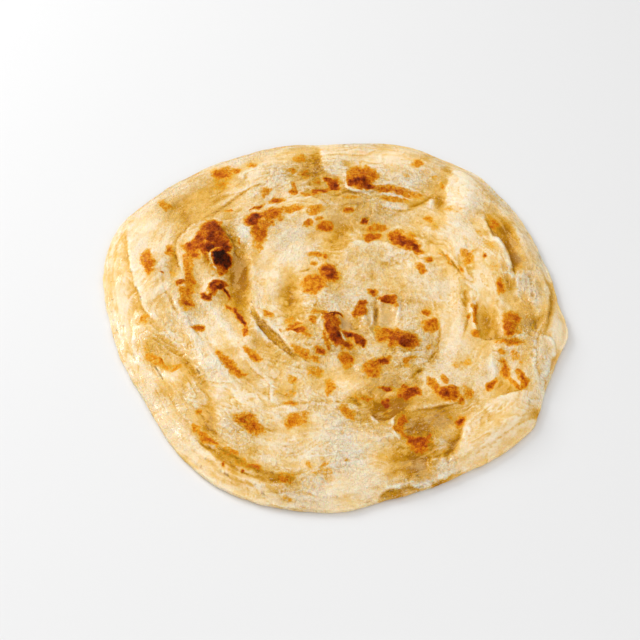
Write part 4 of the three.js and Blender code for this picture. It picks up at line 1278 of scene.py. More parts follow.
    def _coarseness(self, x: Array, y: Array) -> Array:
        """Works out how coarse the skin is before the crumpled patches.

        Args:
            x: The points' x.
            y: The points' y.

        Returns:
            The coarseness, from 0 to 1.
        """
        patches = self.noise.rough(x / self.coarse_size + 44, y / self.coarse_size, 2)
        coarse = self.coarse_mean + self.coarse_change * patches
        for place in SMOOTH_PLACES:
            coarse *= 1 - place.depth * place.soft(x, y)
        return np.clip(coarse, 0, 1)

    def _layers(self, x: Array, y: Array, amber: Array, pale: Array) -> Array:
        """Works out the broken edges of the thin layers that run along the turns.

        Args:
            x: The points' x.
            y: The points' y.
            amber: How oily the surface is, added to below each edge as painted shade.
            pale: How light it is, added to on each edge as a painted highlight.

        Returns:
            The height.
        """
        radius, share = self._round_coil(x, y)
        bend = self.noise.smooth(x / self.layer_bend_size + 8, y / self.layer_bend_size)
        bent = radius + self.layer_bend * bend
        total = np.zeros(x.shape)
        for layering in LAYERINGS:
            out, around = bent / layering.width, layering.around
            place = self.noise.smooth(out + around, share * around, around)
            place += 0.5 * self.noise.smooth(2 * out + 60, share * 2 * around, 2 * around)
            place += 0.25 * self.noise.smooth(4 * out + 90, share * 4 * around, 4 * around)
            part = np.mod(layering.levels * place, 1)
            there = self.noise.smooth(x / self.layer_patch + around, y / self.layer_patch + around)
            height = layering.height * ease(-0.35, 0.35, there)
            total += height * (ease(0, 0.13, part) - part)
            # Painted shade at the foot of each edge, and a painted highlight on its brink.
            amber += self.layer_foot_shade * height * ease(0.72, 1, part)
            pale += self.layer_brink_highlight * height * ease(0.04, 0.14, part) * ease(0.45, 0.14, part)
        return total

    def _grain(self, x: Array, y: Array, crinkle: Array) -> Array:
        """Works out the fine relief: stretch lines and wrinkles along the turns, bubbles and creased film.

        Args:
            x: The points' x.
            y: The points' y.
            crinkle: How flaky the surface is.

        Returns:
            The height.
        """
        radius, share = self._round_coil(x, y)
        bend = self.noise.smooth(x / self.grain_bend_size, y / self.grain_bend_size)
        bent = radius + self.grain_bend * bend
        stretch = self.noise.smooth(bent / self.stretch_size, share * 40, 40)
        stretch += 0.5 * self.noise.smooth(bent + 90, share * 64, 64)
        wrinkles = 1 - 3 * np.abs(self.noise.smooth(bent / self.wrinkle_size + 40, share * 56, 56))
        near, _, own = self.noise.cells(x / self.bubble_size, y / self.bubble_size)
        bubbles = np.maximum(own, 0) * np.sqrt(np.maximum(0.16 - near**2, 0))
        u, v = x / self.film_size, y / self.film_size
        near, next_near, _ = self.noise.cells(u + 0.3 * self.noise.smooth(x / 2, y / 2), v + 40)
        film = ease(self.film_width, 0.0, next_near - near)
        near, _, own = self.noise.cells(x / 5.2 + 11, y / 4.6 + 0.4 * self.noise.smooth(x / 4, y / 4))
        bubbles += 0.9 * np.maximum(own, 0) * np.sqrt(np.maximum(0.15 - near**2, 0))
        puffs = self.noise.rough(x / self.puff_size + 3, y / self.puff_size, 3)
        total = self.stretch_height * stretch + self.wrinkle_height * np.maximum(wrinkles, 0)
        total += self.bubble_height * bubbles + self.puff_height * puffs
        return total + (self.film_plain + self.film_flaky * crinkle) * film

    def _add_browning(self, x: Array, y: Array, brown: Array) -> None:
        """Adds the griddle's marks, the darkest on top.

        Args:
            x: The points' x.
            y: The points' y.
            brown: How far the surface is browned, changed in place.
        """
        wander, fray = self.mark_wander_size, self.mark_fray_size
        x = (
            x
            + self.mark_wander * self.noise.smooth(x / wander + 5, y / wander)
            + self.mark_fray * self.noise.smooth(x / fray + 5, y / fray)
        )
        y = (
            y
            + self.mark_wander * self.noise.smooth(x / wander, y / wander + 70)
            + self.mark_fray * self.noise.smooth(x / fray, y / fray + 70)
        )
        ragged = self.mark_ragged * self.noise.rough(x / 2.4 + 33, y / 2.4, 3)
        patchy = np.clip(self.noise.rough(x / 3.1, y / 3.1 + 50, 3), -1, 1)
        for spot in SPOTS:
            half = min(spot.width, spot.length) / 2
            outside = (spot.oval().distance(x, y) - 1) * half + ragged * min(1, half / 2)
            self._brown(brown, spot.tone, outside, half, patchy)
        for streak in STREAKS:
            where = nearest_on(smooth_path(streak.path), x, y)
            half = streak.width / 2
            outside = np.abs(where.distance) - half * fade(where.along) + ragged * min(1, half / 2)
            self._brown(brown, streak.tone, outside, half, patchy)

    def _brown(self, brown: Array, tone: Tone, outside: Array, half: float, patchy: Array) -> None:
        """Browns one mark.

        Args:
            brown: How far the surface is browned, changed in place.
            tone: The mark's own tone.
            outside: The distance outside its edge, in millimetres.
            half: Half its width.
            patchy: Noise that makes it uneven.
        """
        reach = min(1.2, 0.35 * half + 0.15)
        glow = ease(2.2 * reach, -0.2 * reach, outside) * (0.8 + 0.5 * patchy)
        spread = ease(0.9 * reach, -0.4 * reach, outside - 0.3)
        core = ease(0.3 * reach, -1.1 * reach, outside - 0.2 + 0.3 * patchy)
        weak = min(tone.value, self.glow_limit)
        mark = self.glow_share * (weak * glow + (tone.value - weak) * core) + 0.06 * core * patchy
        mark += tone.value * (self.spread_share * spread + self.core_share * core)
        np.copyto(brown, np.maximum(brown, mark))


# ---- Meshes ----


def link(
    name: str, points: Array, faces: list[tuple[int, ...]] | Array, survey: dict[str, Array]
) -> bpy.types.Object:
    """Makes a smooth-shaded mesh object from points in millimetres.

    Args:
        name: The piece's name.
        points: The points, one row each, in the dough's own frame.
        faces: Triangles or quads, as indices into the points.
        survey: What the surface is like at each point.

    Returns:
        The object, linked to the scene.
    """
    mesh = bpy.data.meshes.new(name)
    middle = np.array([*Outline().middle(), 0])
    mesh.from_pydata(((points - middle) * MM).tolist(), [], np.asarray(faces).tolist())
    mesh.polygons.foreach_set("use_smooth", [True] * len(mesh.polygons))
    for key in VALUES:
        layer = mesh.attributes.new(key, "FLOAT", "POINT")
        layer.data.foreach_set("value", survey[key].astype(np.float32))
    mesh.validate()
    obj = bpy.data.objects.new(name, mesh)
    bpy.context.scene.collection.objects.link(obj)
    return obj


@dataclass
class Loaf:
    """The bread itself, as one closed mesh: rings round the middle, a rounded torn edge and a flat underside.

    Its marks are laid out as they are seen from the front, on a level at the layout height. The lean is how
    far whatever stands above that level comes forward for each millimetre.
    """

    dough: Dough
    rings: int = 170
    plain_inset: float = 1.0
    shade_rim: tuple[float, float] = (1.0, 9.0)
    shade_steps: tuple[int, ...] = (6, 40)
    shade_stay: float = 0.3
    shade_depth: float = 0.5
    shade_amber: float = 0.16
    shade_pale: float = 0.2
    layout_height: float = 5.0
    layout_lean: float = 0.84
    layout_rim: tuple[float, float] = (0.0, 12.0)
    edge_rows: tuple[tuple[float, float], ...] = (
        (0.62, 0.0), (0.34, 0.0), (0.14, 0.06), (0.02, 0.2), (0.0, 0.42), (0.1, 0.62), (0.32, 0.78),
        (0.8, 0.92),
    )  # fmt: skip
    edge_layers: float = 6.0
    edge_patches: int = 150
    edge_depth: float = 0.22
    edge_look: float = 0.995
    underside_inset: float = 2.2
    underside_rows: tuple[tuple[int, float], ...] = (
        (120, 0.985), (84, 0.72), (48, 0.42), (20, 0.18), (6, 0.05),
    )  # fmt: skip

    def build(self) -> bpy.types.Object:
        """Builds the mesh and its surface values.

        Returns:
            The bread's object.
        """
        x, y = self.dough.snap(*self._top_plan())
        survey = self.dough.survey(x, y)
        top_faces = self._top_faces()
        inset = self.dough.outline.inset(x, y)
        level = self._shade(survey, top_faces, ease(*self.shade_rim, inset))
        nearer = ease(*self.layout_rim, inset) * (level - self.layout_height) * self.layout_lean
        top = np.stack([x + survey["shift_x"], y + survey["shift_y"] - nearer, survey["z"]], axis=1)
        faces = [top_faces]
        outer_count = 6 * self.rings
        outer_start = len(top) - outer_count
        angle = 2 * np.pi * np.arange(outer_count) / outer_count
        rows = [top]
        ring = np.arange(outer_start, len(top))
        total = len(top)
        for row_inset, fallen in self.edge_rows:
            rows.append(self._edge_row(angle, row_inset, fallen, top[outer_start:, 2]))
            below = np.arange(total, total + outer_count)
            faces.append(self._band(ring, below))
            ring, total = below, total + outer_count
        for sixths, share in self.underside_rows:
            count = 6 * sixths
            around = 2 * np.pi * np.arange(count) / count
            radius = (self.dough.outline.radius(around) - self.underside_inset) * share
            rows.append(np.stack([radius * np.cos(around), radius * np.sin(around), np.zeros(count)], axis=1))
            below = np.arange(total, total + count)
            faces.append(np.array(self._stitch(ring, below)))
            ring, total = below, total + count
        rows.append(np.zeros((1, 3)))
        faces.append(np.stack([ring, np.full(len(ring), total), np.roll(ring, -1)], axis=1))
        points = np.vstack(rows)
        extra = self.dough.survey(*(points[len(top) :, :2] * self.edge_look).T)
        values = {key: np.concatenate([survey[key], extra[key]]) for key in VALUES}
        return link("paratha_crust", points, np.vstack(faces), values)

    def _shade(self, survey: dict[str, Array], faces: Array, share: Array) -> Array:
        """Paints shade into hollows as amber and light onto ridges as pale, by how far they lie below or
        above what is round them.

        Args:
            survey: The top's heights and values, changed in place.
            faces: The top's triangles.
            share: How much of this each point takes.

        Returns:
            The height of the dough round each point.
        """
        pairs = np.vstack([faces[:, [0, 1]], faces[:, [1, 2]], faces[:, [2, 0]]])
        count = len(survey["z"])
        ends = np.bincount(pairs[:, 0], minlength=count) + np.bincount(pairs[:, 1], minlength=count)
        level = survey["z"].copy()
        for step in range(1, self.shade_steps[-1] + 1):
            total = np.bincount(pairs[:, 0], level[pairs[:, 1]], count)
            total += np.bincount(pairs[:, 1], level[pairs[:, 0]], count)
            level = self.shade_stay * level + (1 - self.shade_stay) * total / ends
            if step in self.shade_steps:
                below = level - survey["z"]
                # Painted shade in hollows and painted highlights on ridges.
                survey["amber"] += share * self.shade_amber * np.clip(below / self.shade_depth, 0, 1)
                survey["pale"] += share * self.shade_pale * np.clip(-below / self.shade_depth, 0, 1)
        return level

    def _top_plan(self) -> tuple[Array, Array]:
        """Lays out the top.

        Returns:
            x and y of its middle point and then of every ring, from the inside out.
        """
        xs, ys = [np.zeros(1)], [np.zeros(1)]
        for k in range(1, self.rings + 1):
            angle = 2 * np.pi * np.arange(6 * k) / (6 * k)
            radius = (self.dough.outline.radius(angle) - self.plain_inset) * k / self.rings
            xs.append(radius * np.cos(angle))
            ys.append(radius * np.sin(angle))
        return np.concatenate(xs), np.concatenate(ys)

    def _top_faces(self) -> Array:
        """Joins the top's rings.

        Returns:
            The triangles, as indices into the top's points.
        """
        faces = []
        inner = np.zeros(1, int)
        total = 1
        for k in range(1, self.rings + 1):
            outer = np.arange(total, total + 6 * k)
            side, step = np.divmod(np.arange(6 * k), k)
            low = inner[(side * (k - 1) + step) % len(inner)]
            faces.append(np.stack([outer, np.roll(outer, -1), low], axis=1))
            if k > 1:
                inside = step < k - 1
                high = inner[(side * (k - 1) + step + 1) % len(inner)]
                faces.append(np.stack([np.roll(outer, -1), high, low], axis=1)[inside])
            inner, total = outer, total + 6 * k
        return np.vstack(faces)

    def _edge_row(self, angle: Array, inset: float, fallen: float, top: Array) -> Array:
        """Places one row of the rounded edge.

        Args:
            angle: The points' angles in radians.
            inset: How far in from the outermost row.
            fallen: The share of the way from the top of the edge to the table.
            top: The height of the top just inside the edge.

        Returns:
            The row's points.
        """
        share = np.mod(angle / (2 * np.pi), 1)
        level = np.full(angle.shape, self.edge_layers * fallen)
        layers = self.dough.noise.smooth(level, share * self.edge_patches, self.edge_patches)
        radius = self.dough.outline.radius(angle) - inset + self.dough.outline.torn(angle)
        radius += self.edge_depth * layers
        return np.stack([radius * np.cos(angle), radius * np.sin(angle), top * (1 - fallen)], axis=1)

    @staticmethod
    def _band(upper: Array, lower: Array) -> Array:
        """Joins two rows of equal length.

        Args:
            upper: The upper row's indices.
            lower: The lower row's indices.

        Returns:
            The triangles between them.
        """
        next_upper, next_lower = np.roll(upper, -1), np.roll(lower, -1)
        return np.vstack(
            [np.stack([upper, lower, next_upper], axis=1), np.stack([next_upper, lower, next_lower], axis=1)]
        )

    @staticmethod
    def _stitch(outer: Array, inner: Array) -> list[tuple[int, int, int]]:
        """Joins a ring of the underside to a smaller one inside it.

        Args:
            outer: The outer ring's indices, anticlockwise.
            inner: The inner ring's indices, anticlockwise from the same angle.

        Returns:
            Triangles that face down.
        """
        triangles = []
        o = i = 0
        while o < len(outer) or i < len(inner):
            a, b = int(outer[o % len(outer)]), int(inner[i % len(inner)])
            if (o + 1) * len(inner) <= (i + 1) * len(outer) and o < len(outer):
                o += 1
                triangles.append((a, b, int(outer[o % len(outer)])))
            else:
                i += 1
                triangles.append((a, b, int(inner[i % len(inner)])))
        return triangles


# ---- Finishes ----


@dataclass(frozen=True)
class Span:
    """A smooth change from start to end, while the value that it follows goes from low to high."""

    low: float
    high: float
    start: float = 0.0
    end: float = 1.0


@dataclass(frozen=True)
class Mottle:
    """A noise: its patches in a metre, how often they are halved, and how much of them is left each time."""

    scale: float
    detail: float
    rough: float


class Graph:
    """A node tree that is being wired."""

    def __init__(self, tree: bpy.types.NodeTree) -> None:
        """Keeps the tree."""
        self.tree = tree

    def add(self, kind: str, inputs: dict[str | int, object], **settings: object) -> bpy.types.Node:
        """Adds a node.

        Args:
            kind: The node's type name.
            inputs: Values or sockets, by input name or number.
            settings: The node's own settings.

        Returns:
            The node.
        """
        node = self.tree.nodes.new(kind)
        for key, value in settings.items():
            setattr(node, key, value)
        for key, value in inputs.items():
            if isinstance(value, Socket):
                self.tree.links.new(value, node.inputs[key])
            else:
                node.inputs[key].default_value = value
        return node

    def math(self, operation: str, *values: object) -> Socket:
        """Adds one Math node on sockets or numbers, and returns its output."""
        return self.add("ShaderNodeMath", dict(enumerate(values)), operation=operation).outputs[0]

    def times(self, value: Socket, other: object) -> Socket:
        """Multiplies a socket by a socket or a number, and returns the product."""
        return self.math("MULTIPLY", value, other)

    def total(self, *values: object) -> Socket:
        """Adds sockets up.

        Args:
            values: The sockets.

        Returns:
            Their sum.
        """
        result = values[0]
        for value in values[1:]:
            result = self.math("ADD", result, value)
        return result

    def vector(self, operation: str, value: object, other: object = None) -> Socket:
        """Adds one Vector Math node.

        Args:
            operation: What it does.
            value: The first vector.
            other: The second, or for the scale operation a number.

        Returns:
            Its vector.
        """
        inputs = {0: value}
        if other is not None:
            inputs["Scale" if operation == "SCALE" else 1] = other
        return self.add("ShaderNodeVectorMath", inputs, operation=operation).outputs[0]

    def noise(self, where: Socket, mottle: Mottle) -> Socket:
        """Adds a noise texture, and returns its value."""
        inputs = {"Vector": where, "Scale": mottle.scale, "Detail": mottle.detail, "Roughness": mottle.rough}
        return self.add("ShaderNodeTexNoise", inputs).outputs["Fac"]

    def remap(self, value: Socket, span: Span) -> Socket:
        """Maps a value smoothly along a span.

        Args:
            value: The value.
            span: The span.

        Returns:
            The result.
        """
        inputs = {"Value": value, "From Min": span.low, "From Max": span.high}
        inputs |= {"To Min": span.start, "To Max": span.end}
        return self.add("ShaderNodeMapRange", inputs, interpolation_type="SMOOTHSTEP").outputs[0]

    def mix(self, share: Socket, first: Socket, second: object, blend: str = "MIX") -> Socket:
        """Mixes two colours.

        Args:
            share: How much of the second.
            first: The first.
            second: The second, as a socket or a colour.
            blend: The way they are mixed.

        Returns:
            The mixed colour.
        """
        inputs = {0: share, 6: first, 7: second}
        return self.add("ShaderNodeMix", inputs, data_type="RGBA", blend_type=blend).outputs[2]

    def ramp(self, value: Socket, stops: Stops) -> Socket:
        """Adds a colour ramp.

        Args:
            value: The value that it follows.
            stops: Its stops, from the lowest.

        Returns:
            Its colour.
        """
        node = self.add("ShaderNodeValToRGB", {"Fac": value})
        elements = node.color_ramp.elements
        while len(elements) > 1:
            elements.remove(elements[-1])
        elements[0].position = stops[0][0]
        elements[0].color = linear(stops[0][1])
        for place, colour in stops[1:]:
            elements.new(place).color = linear(colour)
        return node.outputs["Color"]


def linear(colour: Colour) -> tuple[float, float, float, float]:
    """Turns a screen colour into a linear one.

    Args:
        colour: Red, green and blue, from 0 to 255.

    Returns:
        The linear red, green and blue, and an alpha of 1.
    """
    parts = [value / 255 for value in colour]
    linears = (part / 12.92 if part <= 0.04045 else ((part + 0.055) / 1.055) ** 2.4 for part in parts)
    return (*linears, 1.0)


@dataclass(frozen=True)
class Skin:
    """What the crust's finish is mixed from: the mesh's own values, noises, and the thin film's creases."""

    amber: Socket
    pale: Socket
    brown: Socket
    speckle: Socket
    grain: Socket
    streak: Socket
    blotch: Socket
    tint: Socket
    coarse: Socket
    film: Socket


@dataclass(frozen=True)
class CrustFinish:
    """Baked dough: cream where dry, ochre and amber where thin and oily, and browned by the griddle; its
    amber also holds painted shade, and its lighter skin painted highlights and glints.
    """

    flour_and_glint_colour: Colour = (255, 242, 220)
    golden: Colour = (247, 203, 120)
    milky: Colour = (251, 229, 193)
    dull: Colour = (208, 174, 118)
    pit_shade_colour: Colour = (236, 212, 176)
    pore_shade_colour: Colour = (236, 230, 216)
    oil_and_shade_ramp: Stops = (
        (0.0, (252, 228, 190)),
        (0.25, (242, 208, 146)),
        (0.5, (230, 181, 86)),
        (0.75, (210, 150, 26)),
        (0.9, (188, 128, 6)),
        (1.0, (172, 112, 2)),
    )
    browning: Stops = (
        (0.0, (242, 204, 124)),
        (0.12, (238, 188, 84)),
        (0.24, (234, 168, 44)),
        (0.36, (228, 148, 16)),
        (0.48, (214, 124, 6)),
        (0.58, (200, 100, 4)),
        (0.68, (176, 76, 2)),
        (0.78, (146, 54, 1)),
        (0.86, (116, 38, 1)),
        (0.94, (80, 27, 4)),
        (1.0, (52, 21, 9)),
    )
    speckle: Mottle = Mottle(1700.0, 1.0, 0.6)
    grain: Mottle = Mottle(820.0, 2.0, 0.7)
    streak: Mottle = Mottle(460.0, 3.0, 0.6)
    blotch: Mottle = Mottle(140.0, 3.0, 0.6)
    tint: Mottle = Mottle(210.0, 5.0, 0.7)
    bend_scale: float = 420.0
    bend_reach: float = 0.0012
    turn_radius: float = 0.025
    coarse: Span = Span(0.0, 1.0, 0.25, 1.0)
    film_scale: float = 430.0
    film_edge: Span = Span(0.16, 0.0)
    film_coarse: Span = Span(0.0, 1.0, 0.15, 1.0)
    wet_blotch: Span = Span(0.35, 0.7, 0.07, 0.25)
    wet_streak: Span = Span(0.32, 0.68, -0.04, 0.09)
    wet_grain: Span = Span(0.3, 0.7, 0.03, -0.03)
    wet_pale: float = -0.35
    wet_film: float = -0.12
    golden_tint: Span = Span(0.515, 0.585, 0.0, 0.42)
    milky_tint: Span = Span(0.49, 0.43, 0.0, 0.6)
    milky_wet: Span = Span(0.15, 0.5, 1.0, 0.0)
    dull_pale: Span = Span(0.0, -0.6, 0.0, 0.7)
    pit_shade_span: Span = Span(0.52, 0.3, 0.0, 0.42)
    pore_shade_span: Span = Span(0.54, 0.3, 0.0, 0.55)
    dry_blotch: Span = Span(0.5, 0.34, 0.0, 0.35)
    dry_grain: Span = Span(0.52, 0.72, -0.1, 0.55)
    dry_speckle: Span = Span(0.54, 0.7, 0.0, 0.25)
    dry_film: float = 0.2
    dry_amber: float = -0.7
    flour_and_highlight_span: Span = Span(0.1, 1.2, 0.0, 0.8)
    glint_speckle: Span = Span(0.62, 0.72, 0.0, 0.6)
    broken_grain: Span = Span(0.3, 0.7, -0.15, 0.12)
    broken_speckle: Span = Span(0.28, 0.72, -0.07, 0.06)
    broken_weak: Span = Span(0.04, 0.34)
    broken_strong: Span = Span(0.5, 0.8, 1.0, 0.45)
    toasted: Span = Span(0.03, 0.24)
    gloss_grain: Span = Span(0.3, 0.7, 0.32, 0.56)
    oil_streak: Span = Span(0.5, 0.62, 0.0, 0.9)
    oil_free: Span = Span(0.2, 0.6, 1.0, 0.0)
    oil_roughness: float = 0.16
    bump_speckle: float = 0.7
    bump_streak: float = 0.8
    bump_film: float = 0.5
    bump_height: float = 0.001
    glow: float = 0.4
    glow_radius: tuple[float, float, float] = (1.0, 0.55, 0.22)
    glow_scale: float = 0.0022
    specular: float = 0.07

    def build(self) -> bpy.types.Material:
        """Builds the material.

        Returns:
            The material, which reads the mesh's amber, pale, brown and crinkle values.
        """
        material = bpy.data.materials.new("baked_dough")
        material.use_nodes = True
        graph = Graph(material.node_tree)
        shader = material.node_tree.nodes["Principled BSDF"]
        skin = self._skin(graph)
        for socket, name in (
            (self._toast(graph, skin, self._flour(graph, skin, self._colour_oil_and_shade(graph, skin))), "Base Color"),
            (graph.remap(skin.grain, self.gloss_grain), "Roughness"),
            (self._oil(graph, skin), "Coat Weight"),
            (self._relief(graph, skin), "Normal"),
        ):
            graph.tree.links.new(socket, shader.inputs[name])
        shader.inputs["Coat Roughness"].default_value = self.oil_roughness
        shader.inputs["Subsurface Weight"].default_value = self.glow
        shader.inputs["Subsurface Radius"].default_value = self.glow_radius
        shader.inputs["Subsurface Scale"].default_value = self.glow_scale
        shader.inputs["Specular IOR Level"].default_value = self.specular
        return material

    def _skin(self, graph: Graph) -> Skin:
        """Lays out the mesh's values and the noises.

        Args:
            graph: The tree.

        Returns:
            Their sockets.
        """
        where = graph.add("ShaderNodeTexCoord", {}).outputs["Object"]
        amber, pale, brown, crinkle = (
            graph.add("ShaderNodeAttribute", {}, attribute_name=key).outputs["Fac"] for key in VALUES
        )
        bend = graph.add("ShaderNodeTexNoise", {"Vector": where, "Scale": self.bend_scale}).outputs["Color"]
        bent = graph.vector("ADD", where, graph.vector("SCALE", bend, self.bend_reach))
        turned = self._along_turns(graph, bent)
        inputs = {"Vector": bent, "Scale": self.film_scale}
        film = graph.add("ShaderNodeTexVoronoi", inputs, feature="DISTANCE_TO_EDGE").outputs["Distance"]
        return Skin(
            amber=amber,
            pale=pale,
            brown=brown,
            speckle=graph.noise(where, self.speckle),
            grain=graph.noise(where, self.grain),
            streak=graph.noise(turned, self.streak),
            blotch=graph.noise(where, self.blotch),
            tint=graph.noise(turned, self.tint),
            coarse=graph.remap(crinkle, self.coarse),
            film=graph.times(graph.remap(film, self.film_edge), graph.remap(crinkle, self.film_coarse)),
        )

    def _along_turns(self, graph: Graph, where: Socket) -> Socket:
        """Bends coordinates round the coil, so that what is laid out on them is drawn out along its turns.

        Args:
            graph: The tree.
            where: The coordinates, in metres.

        Returns:
            The bent coordinates.
        """
        middle = Outline().middle()
        centre = ((COIL_CENTRE[0] - middle[0]) * MM, (COIL_CENTRE[1] - middle[1]) * MM, 0.0)
        flat = graph.vector("MULTIPLY", graph.vector("SUBTRACT", where, centre), (1.0, 1.0, 0.0))
        around = graph.vector("SCALE", graph.vector("NORMALIZE", flat), self.turn_radius)
        out = graph.add("ShaderNodeVectorMath", {0: flat}, operation="LENGTH").outputs["Value"]
        return graph.vector("ADD", around, graph.add("ShaderNodeCombineXYZ", {"Z": out}).outputs[0])

    def _colour_oil_and_shade(self, graph: Graph, skin: Skin) -> Socket:
        """Colours the dough by how oily it is, with the painted shade that its amber holds.

        Args:
            graph: The tree.
            skin: What the finish is mixed from.

        Returns:
            The colour.
        """
        wetness_and_shade = graph.total(
            skin.amber,
            graph.remap(skin.blotch, self.wet_blotch),
            graph.remap(skin.streak, self.wet_streak),
            graph.remap(skin.grain, self.wet_grain),
            graph.times(graph.math("MAXIMUM", skin.pale, 0.0), self.wet_pale),
            graph.times(skin.film, self.wet_film),
        )
        colour = graph.ramp(wetness_and_shade, self.oil_and_shade_ramp)
        colour = graph.mix(graph.remap(skin.tint, self.golden_tint), colour, linear(self.golden))
        veil = graph.times(graph.remap(skin.tint, self.milky_tint), graph.remap(wetness_and_shade, self.milky_wet))
        colour = graph.mix(veil, colour, linear(self.milky))
        # Grey-tan where pale is negative: oil-dulled layers, and at one place painted shade.
        return graph.mix(graph.remap(skin.pale, self.dull_pale), colour, linear(self.dull))

    def _flour(self, graph: Graph, skin: Skin, colour: Socket) -> Socket:
        """Lays painted shade in the small hollows of the grain and speckle, dry skin with painted highlights,
        and painted glints over a colour.

        Args:
            graph: The tree.
            skin: What the finish is mixed from.
            colour: The colour.

        Returns:
            The new colour.
        """
        # Painted shade: darker where the bumped grain and speckle sink.
        pit_shading = graph.times(graph.remap(skin.grain, self.pit_shade_span), skin.coarse)
        colour = graph.mix(pit_shading, colour, linear(self.pit_shade_colour), "MULTIPLY")
        pore_shading = graph.times(graph.remap(skin.speckle, self.pore_shade_span), skin.coarse)
        colour = graph.mix(pore_shading, colour, linear(self.pore_shade_colour), "MULTIPLY")
        # Dry dough, lightened further by the painted highlights that pale carries and along the film's raised
        # creases, a painted highlight too.
        dry = graph.total(
            skin.pale,
            graph.remap(skin.blotch, self.dry_blotch),
            graph.times(graph.remap(skin.grain, self.dry_grain), skin.coarse),
            graph.times(graph.remap(skin.speckle, self.dry_speckle), skin.coarse),
            graph.times(skin.film, self.dry_film),
            graph.times(skin.amber, self.dry_amber),
        )
        colour = graph.mix(graph.remap(dry, self.flour_and_highlight_span), colour, linear(self.flour_and_glint_colour))
        # Painted glints on the brightest specks.
        glints = graph.times(graph.remap(skin.speckle, self.glint_speckle), skin.coarse)
        return graph.mix(glints, colour, linear(self.flour_and_glint_colour))

    def _toast(self, graph: Graph, skin: Skin, colour: Socket) -> Socket:
        """Lays the griddle's marks over a colour, broken up by the skin's grain.

        Args:
            graph: The tree.
            skin: What the finish is mixed from.
            colour: The colour.

        Returns:
            The new colour.
        """
        broken = graph.total(
            graph.remap(skin.grain, self.broken_grain), graph.remap(skin.speckle, self.broken_speckle)
        )
        broken = graph.times(broken, graph.remap(skin.brown, self.broken_weak))
        broken = graph.times(broken, graph.remap(skin.brown, self.broken_strong))
        heat = graph.total(skin.brown, broken)
        toasted = graph.ramp(heat, self.browning)
        return graph.mix(graph.remap(heat, self.toasted), colour, toasted, "DARKEN")

    def _oil(self, graph: Graph, skin: Skin) -> Socket:
        """Works out the share of the oil's gloss, on streaks of dry skin.

        Args:
            graph: The tree.
            skin: What the finish is mixed from.

        Returns:
            The share.
        """
        free = graph.remap(graph.total(skin.brown, skin.amber), self.oil_free)
        return graph.times(graph.remap(skin.streak, self.oil_streak), free)

    def _relief(self, graph: Graph, skin: Skin) -> Socket:
        """Raises the finest grain.

        Args:
            graph: The tree.
            skin: What the finish is mixed from.

        Returns:
            The way the surface faces.
        """
        relief = graph.total(
            graph.times(skin.speckle, self.bump_speckle),
            skin.grain,
            graph.times(skin.streak, self.bump_streak),
            graph.times(skin.film, self.bump_film),
        )
        inputs = {"Height": graph.times(relief, skin.coarse), "Strength": 1.0, "Distance": self.bump_height}
        return graph.add("ShaderNodeBump", inputs).outputs["Normal"]


# ---- Floor, light and camera ----


@dataclass(frozen=True)
class FloorFinish:
    """A plain pale floor."""

    colour: tuple[float, float, float, float] = (0.8, 0.8, 0.8, 1.0)
    roughness: float = 0.7

    def build(self) -> bpy.types.Material:
        """Builds the material.

        Returns:
            The material.
        """
        material = bpy.data.materials.new("pale_floor")
        material.use_nodes = True
        shader = material.node_tree.nodes["Principled BSDF"]
        shader.inputs["Base Color"].default_value = self.colour
        shader.inputs["Roughness"].default_value = self.roughness
        return material


@dataclass(frozen=True)
class Lamp:
    """A square soft lamp that faces the bread, its place and width in metres and its power in watts."""

    name: str
    place: tuple[float, float, float]
    width: float
    power: float


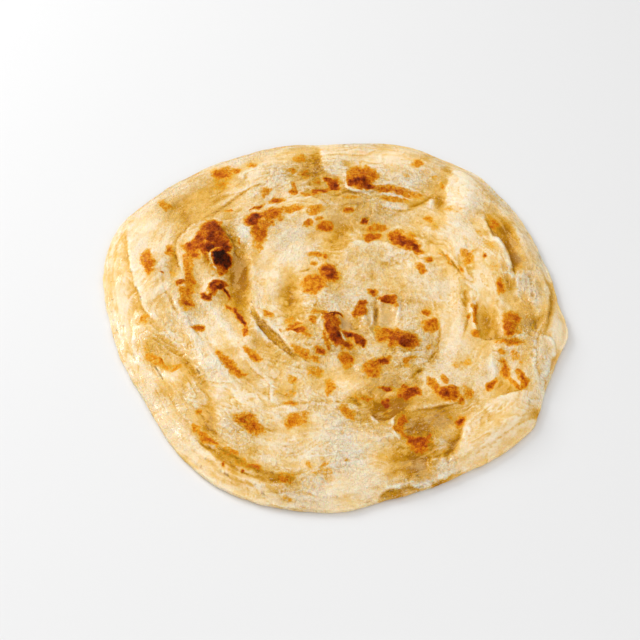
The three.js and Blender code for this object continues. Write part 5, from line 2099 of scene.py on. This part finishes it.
@dataclass
class Studio:
    """The pale floor, the soft light and the camera."""

    floor_size: float = 6.0
    room_light: float = 0.43
    lamps: tuple[Lamp, ...] = (
        Lamp("window", (-0.75, 0.62, 0.62), 0.6, 8.5),
        Lamp("ceiling", (-0.2, 0.0, 1.2), 1.4, 3.8),
        Lamp("front", (0.5, -1.0, 0.8), 1.0, 6.4),
    )
    target: tuple[float, float, float] = (-5.12, -2.02, 0.0)
    elevation: float = 49.79
    roll: float = -2.42
    distance: float = 723.6
    lens: float = 100.0
    sensor_width: float = 36.0

    def build(self) -> None:
        """Builds the floor, the lights and the camera."""
        self._floor()
        self._lights()
        self._camera()

    def _floor(self) -> None:
        """Lays a plain pale floor under the bread."""
        half = self.floor_size / 2
        mesh = bpy.data.meshes.new("floor")
        points = [(-half, -half, 0), (half, -half, 0), (half, half, 0), (-half, half, 0)]
        mesh.from_pydata(points, [], [(0, 1, 2, 3)])
        floor = bpy.data.objects.new("floor", mesh)
        bpy.context.scene.collection.objects.link(floor)
        mesh.materials.append(FloorFinish().build())

    def _lights(self) -> None:
        """Hangs the lamps, and lights the room evenly."""
        world = bpy.data.worlds.new("room")
        bpy.context.scene.world = world
        world.use_nodes = True
        world.node_tree.nodes["Background"].inputs["Color"].default_value = (1, 1, 1, 1)
        world.node_tree.nodes["Background"].inputs["Strength"].default_value = self.room_light
        for lamp in self.lamps:
            light = bpy.data.lights.new(lamp.name, "AREA")
            light.size = lamp.width
            light.energy = lamp.power
            hung = bpy.data.objects.new(lamp.name, light)
            hung.location = lamp.place
            hung.rotation_euler = (-Vector(lamp.place)).to_track_quat("-Z", "Y").to_euler()
            bpy.context.scene.collection.objects.link(hung)

    def _camera(self) -> None:
        """Places the camera above the near side of the bread, looking down on it."""
        lift, roll = math.radians(self.elevation), math.radians(self.roll)
        forward = Vector((0, math.cos(lift), -math.sin(lift)))
        right = Vector((1, 0, 0))
        up = right.cross(forward)
        turned_right = math.cos(roll) * right + math.sin(roll) * up
        turned_up = math.cos(roll) * up - math.sin(roll) * right
        middle = Outline().middle()
        target = Vector((self.target[0] - middle[0], self.target[1] - middle[1], self.target[2])) * MM
        place = target - forward * self.distance * MM
        data = bpy.data.cameras.new("camera")
        data.lens = self.lens
        data.sensor_width = self.sensor_width
        camera = bpy.data.objects.new("camera", data)
        rows = zip(turned_right, turned_up, -forward, place)
        camera.matrix_world = Matrix([*(tuple(row) for row in rows), (0, 0, 0, 1)])
        bpy.context.scene.collection.objects.link(camera)
        bpy.context.scene.camera = camera


def main() -> None:
    """Builds the bread, its finish and the studio."""
    logging.basicConfig(level=logging.INFO, format="%(name)s: %(message)s")
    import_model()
    bpy.context.scene.view_settings.view_transform = "Standard"
    dough = Dough()
    crust = Loaf(dough).build()
    crust.data.materials.append(CrustFinish().build())
    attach(crust, "root")
    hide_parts(NODE)
    LOG.info("%s: %d points, %d faces", crust.name, len(crust.data.vertices), len(crust.data.polygons))
    Studio().build()


if __name__ == "__main__":
    main()
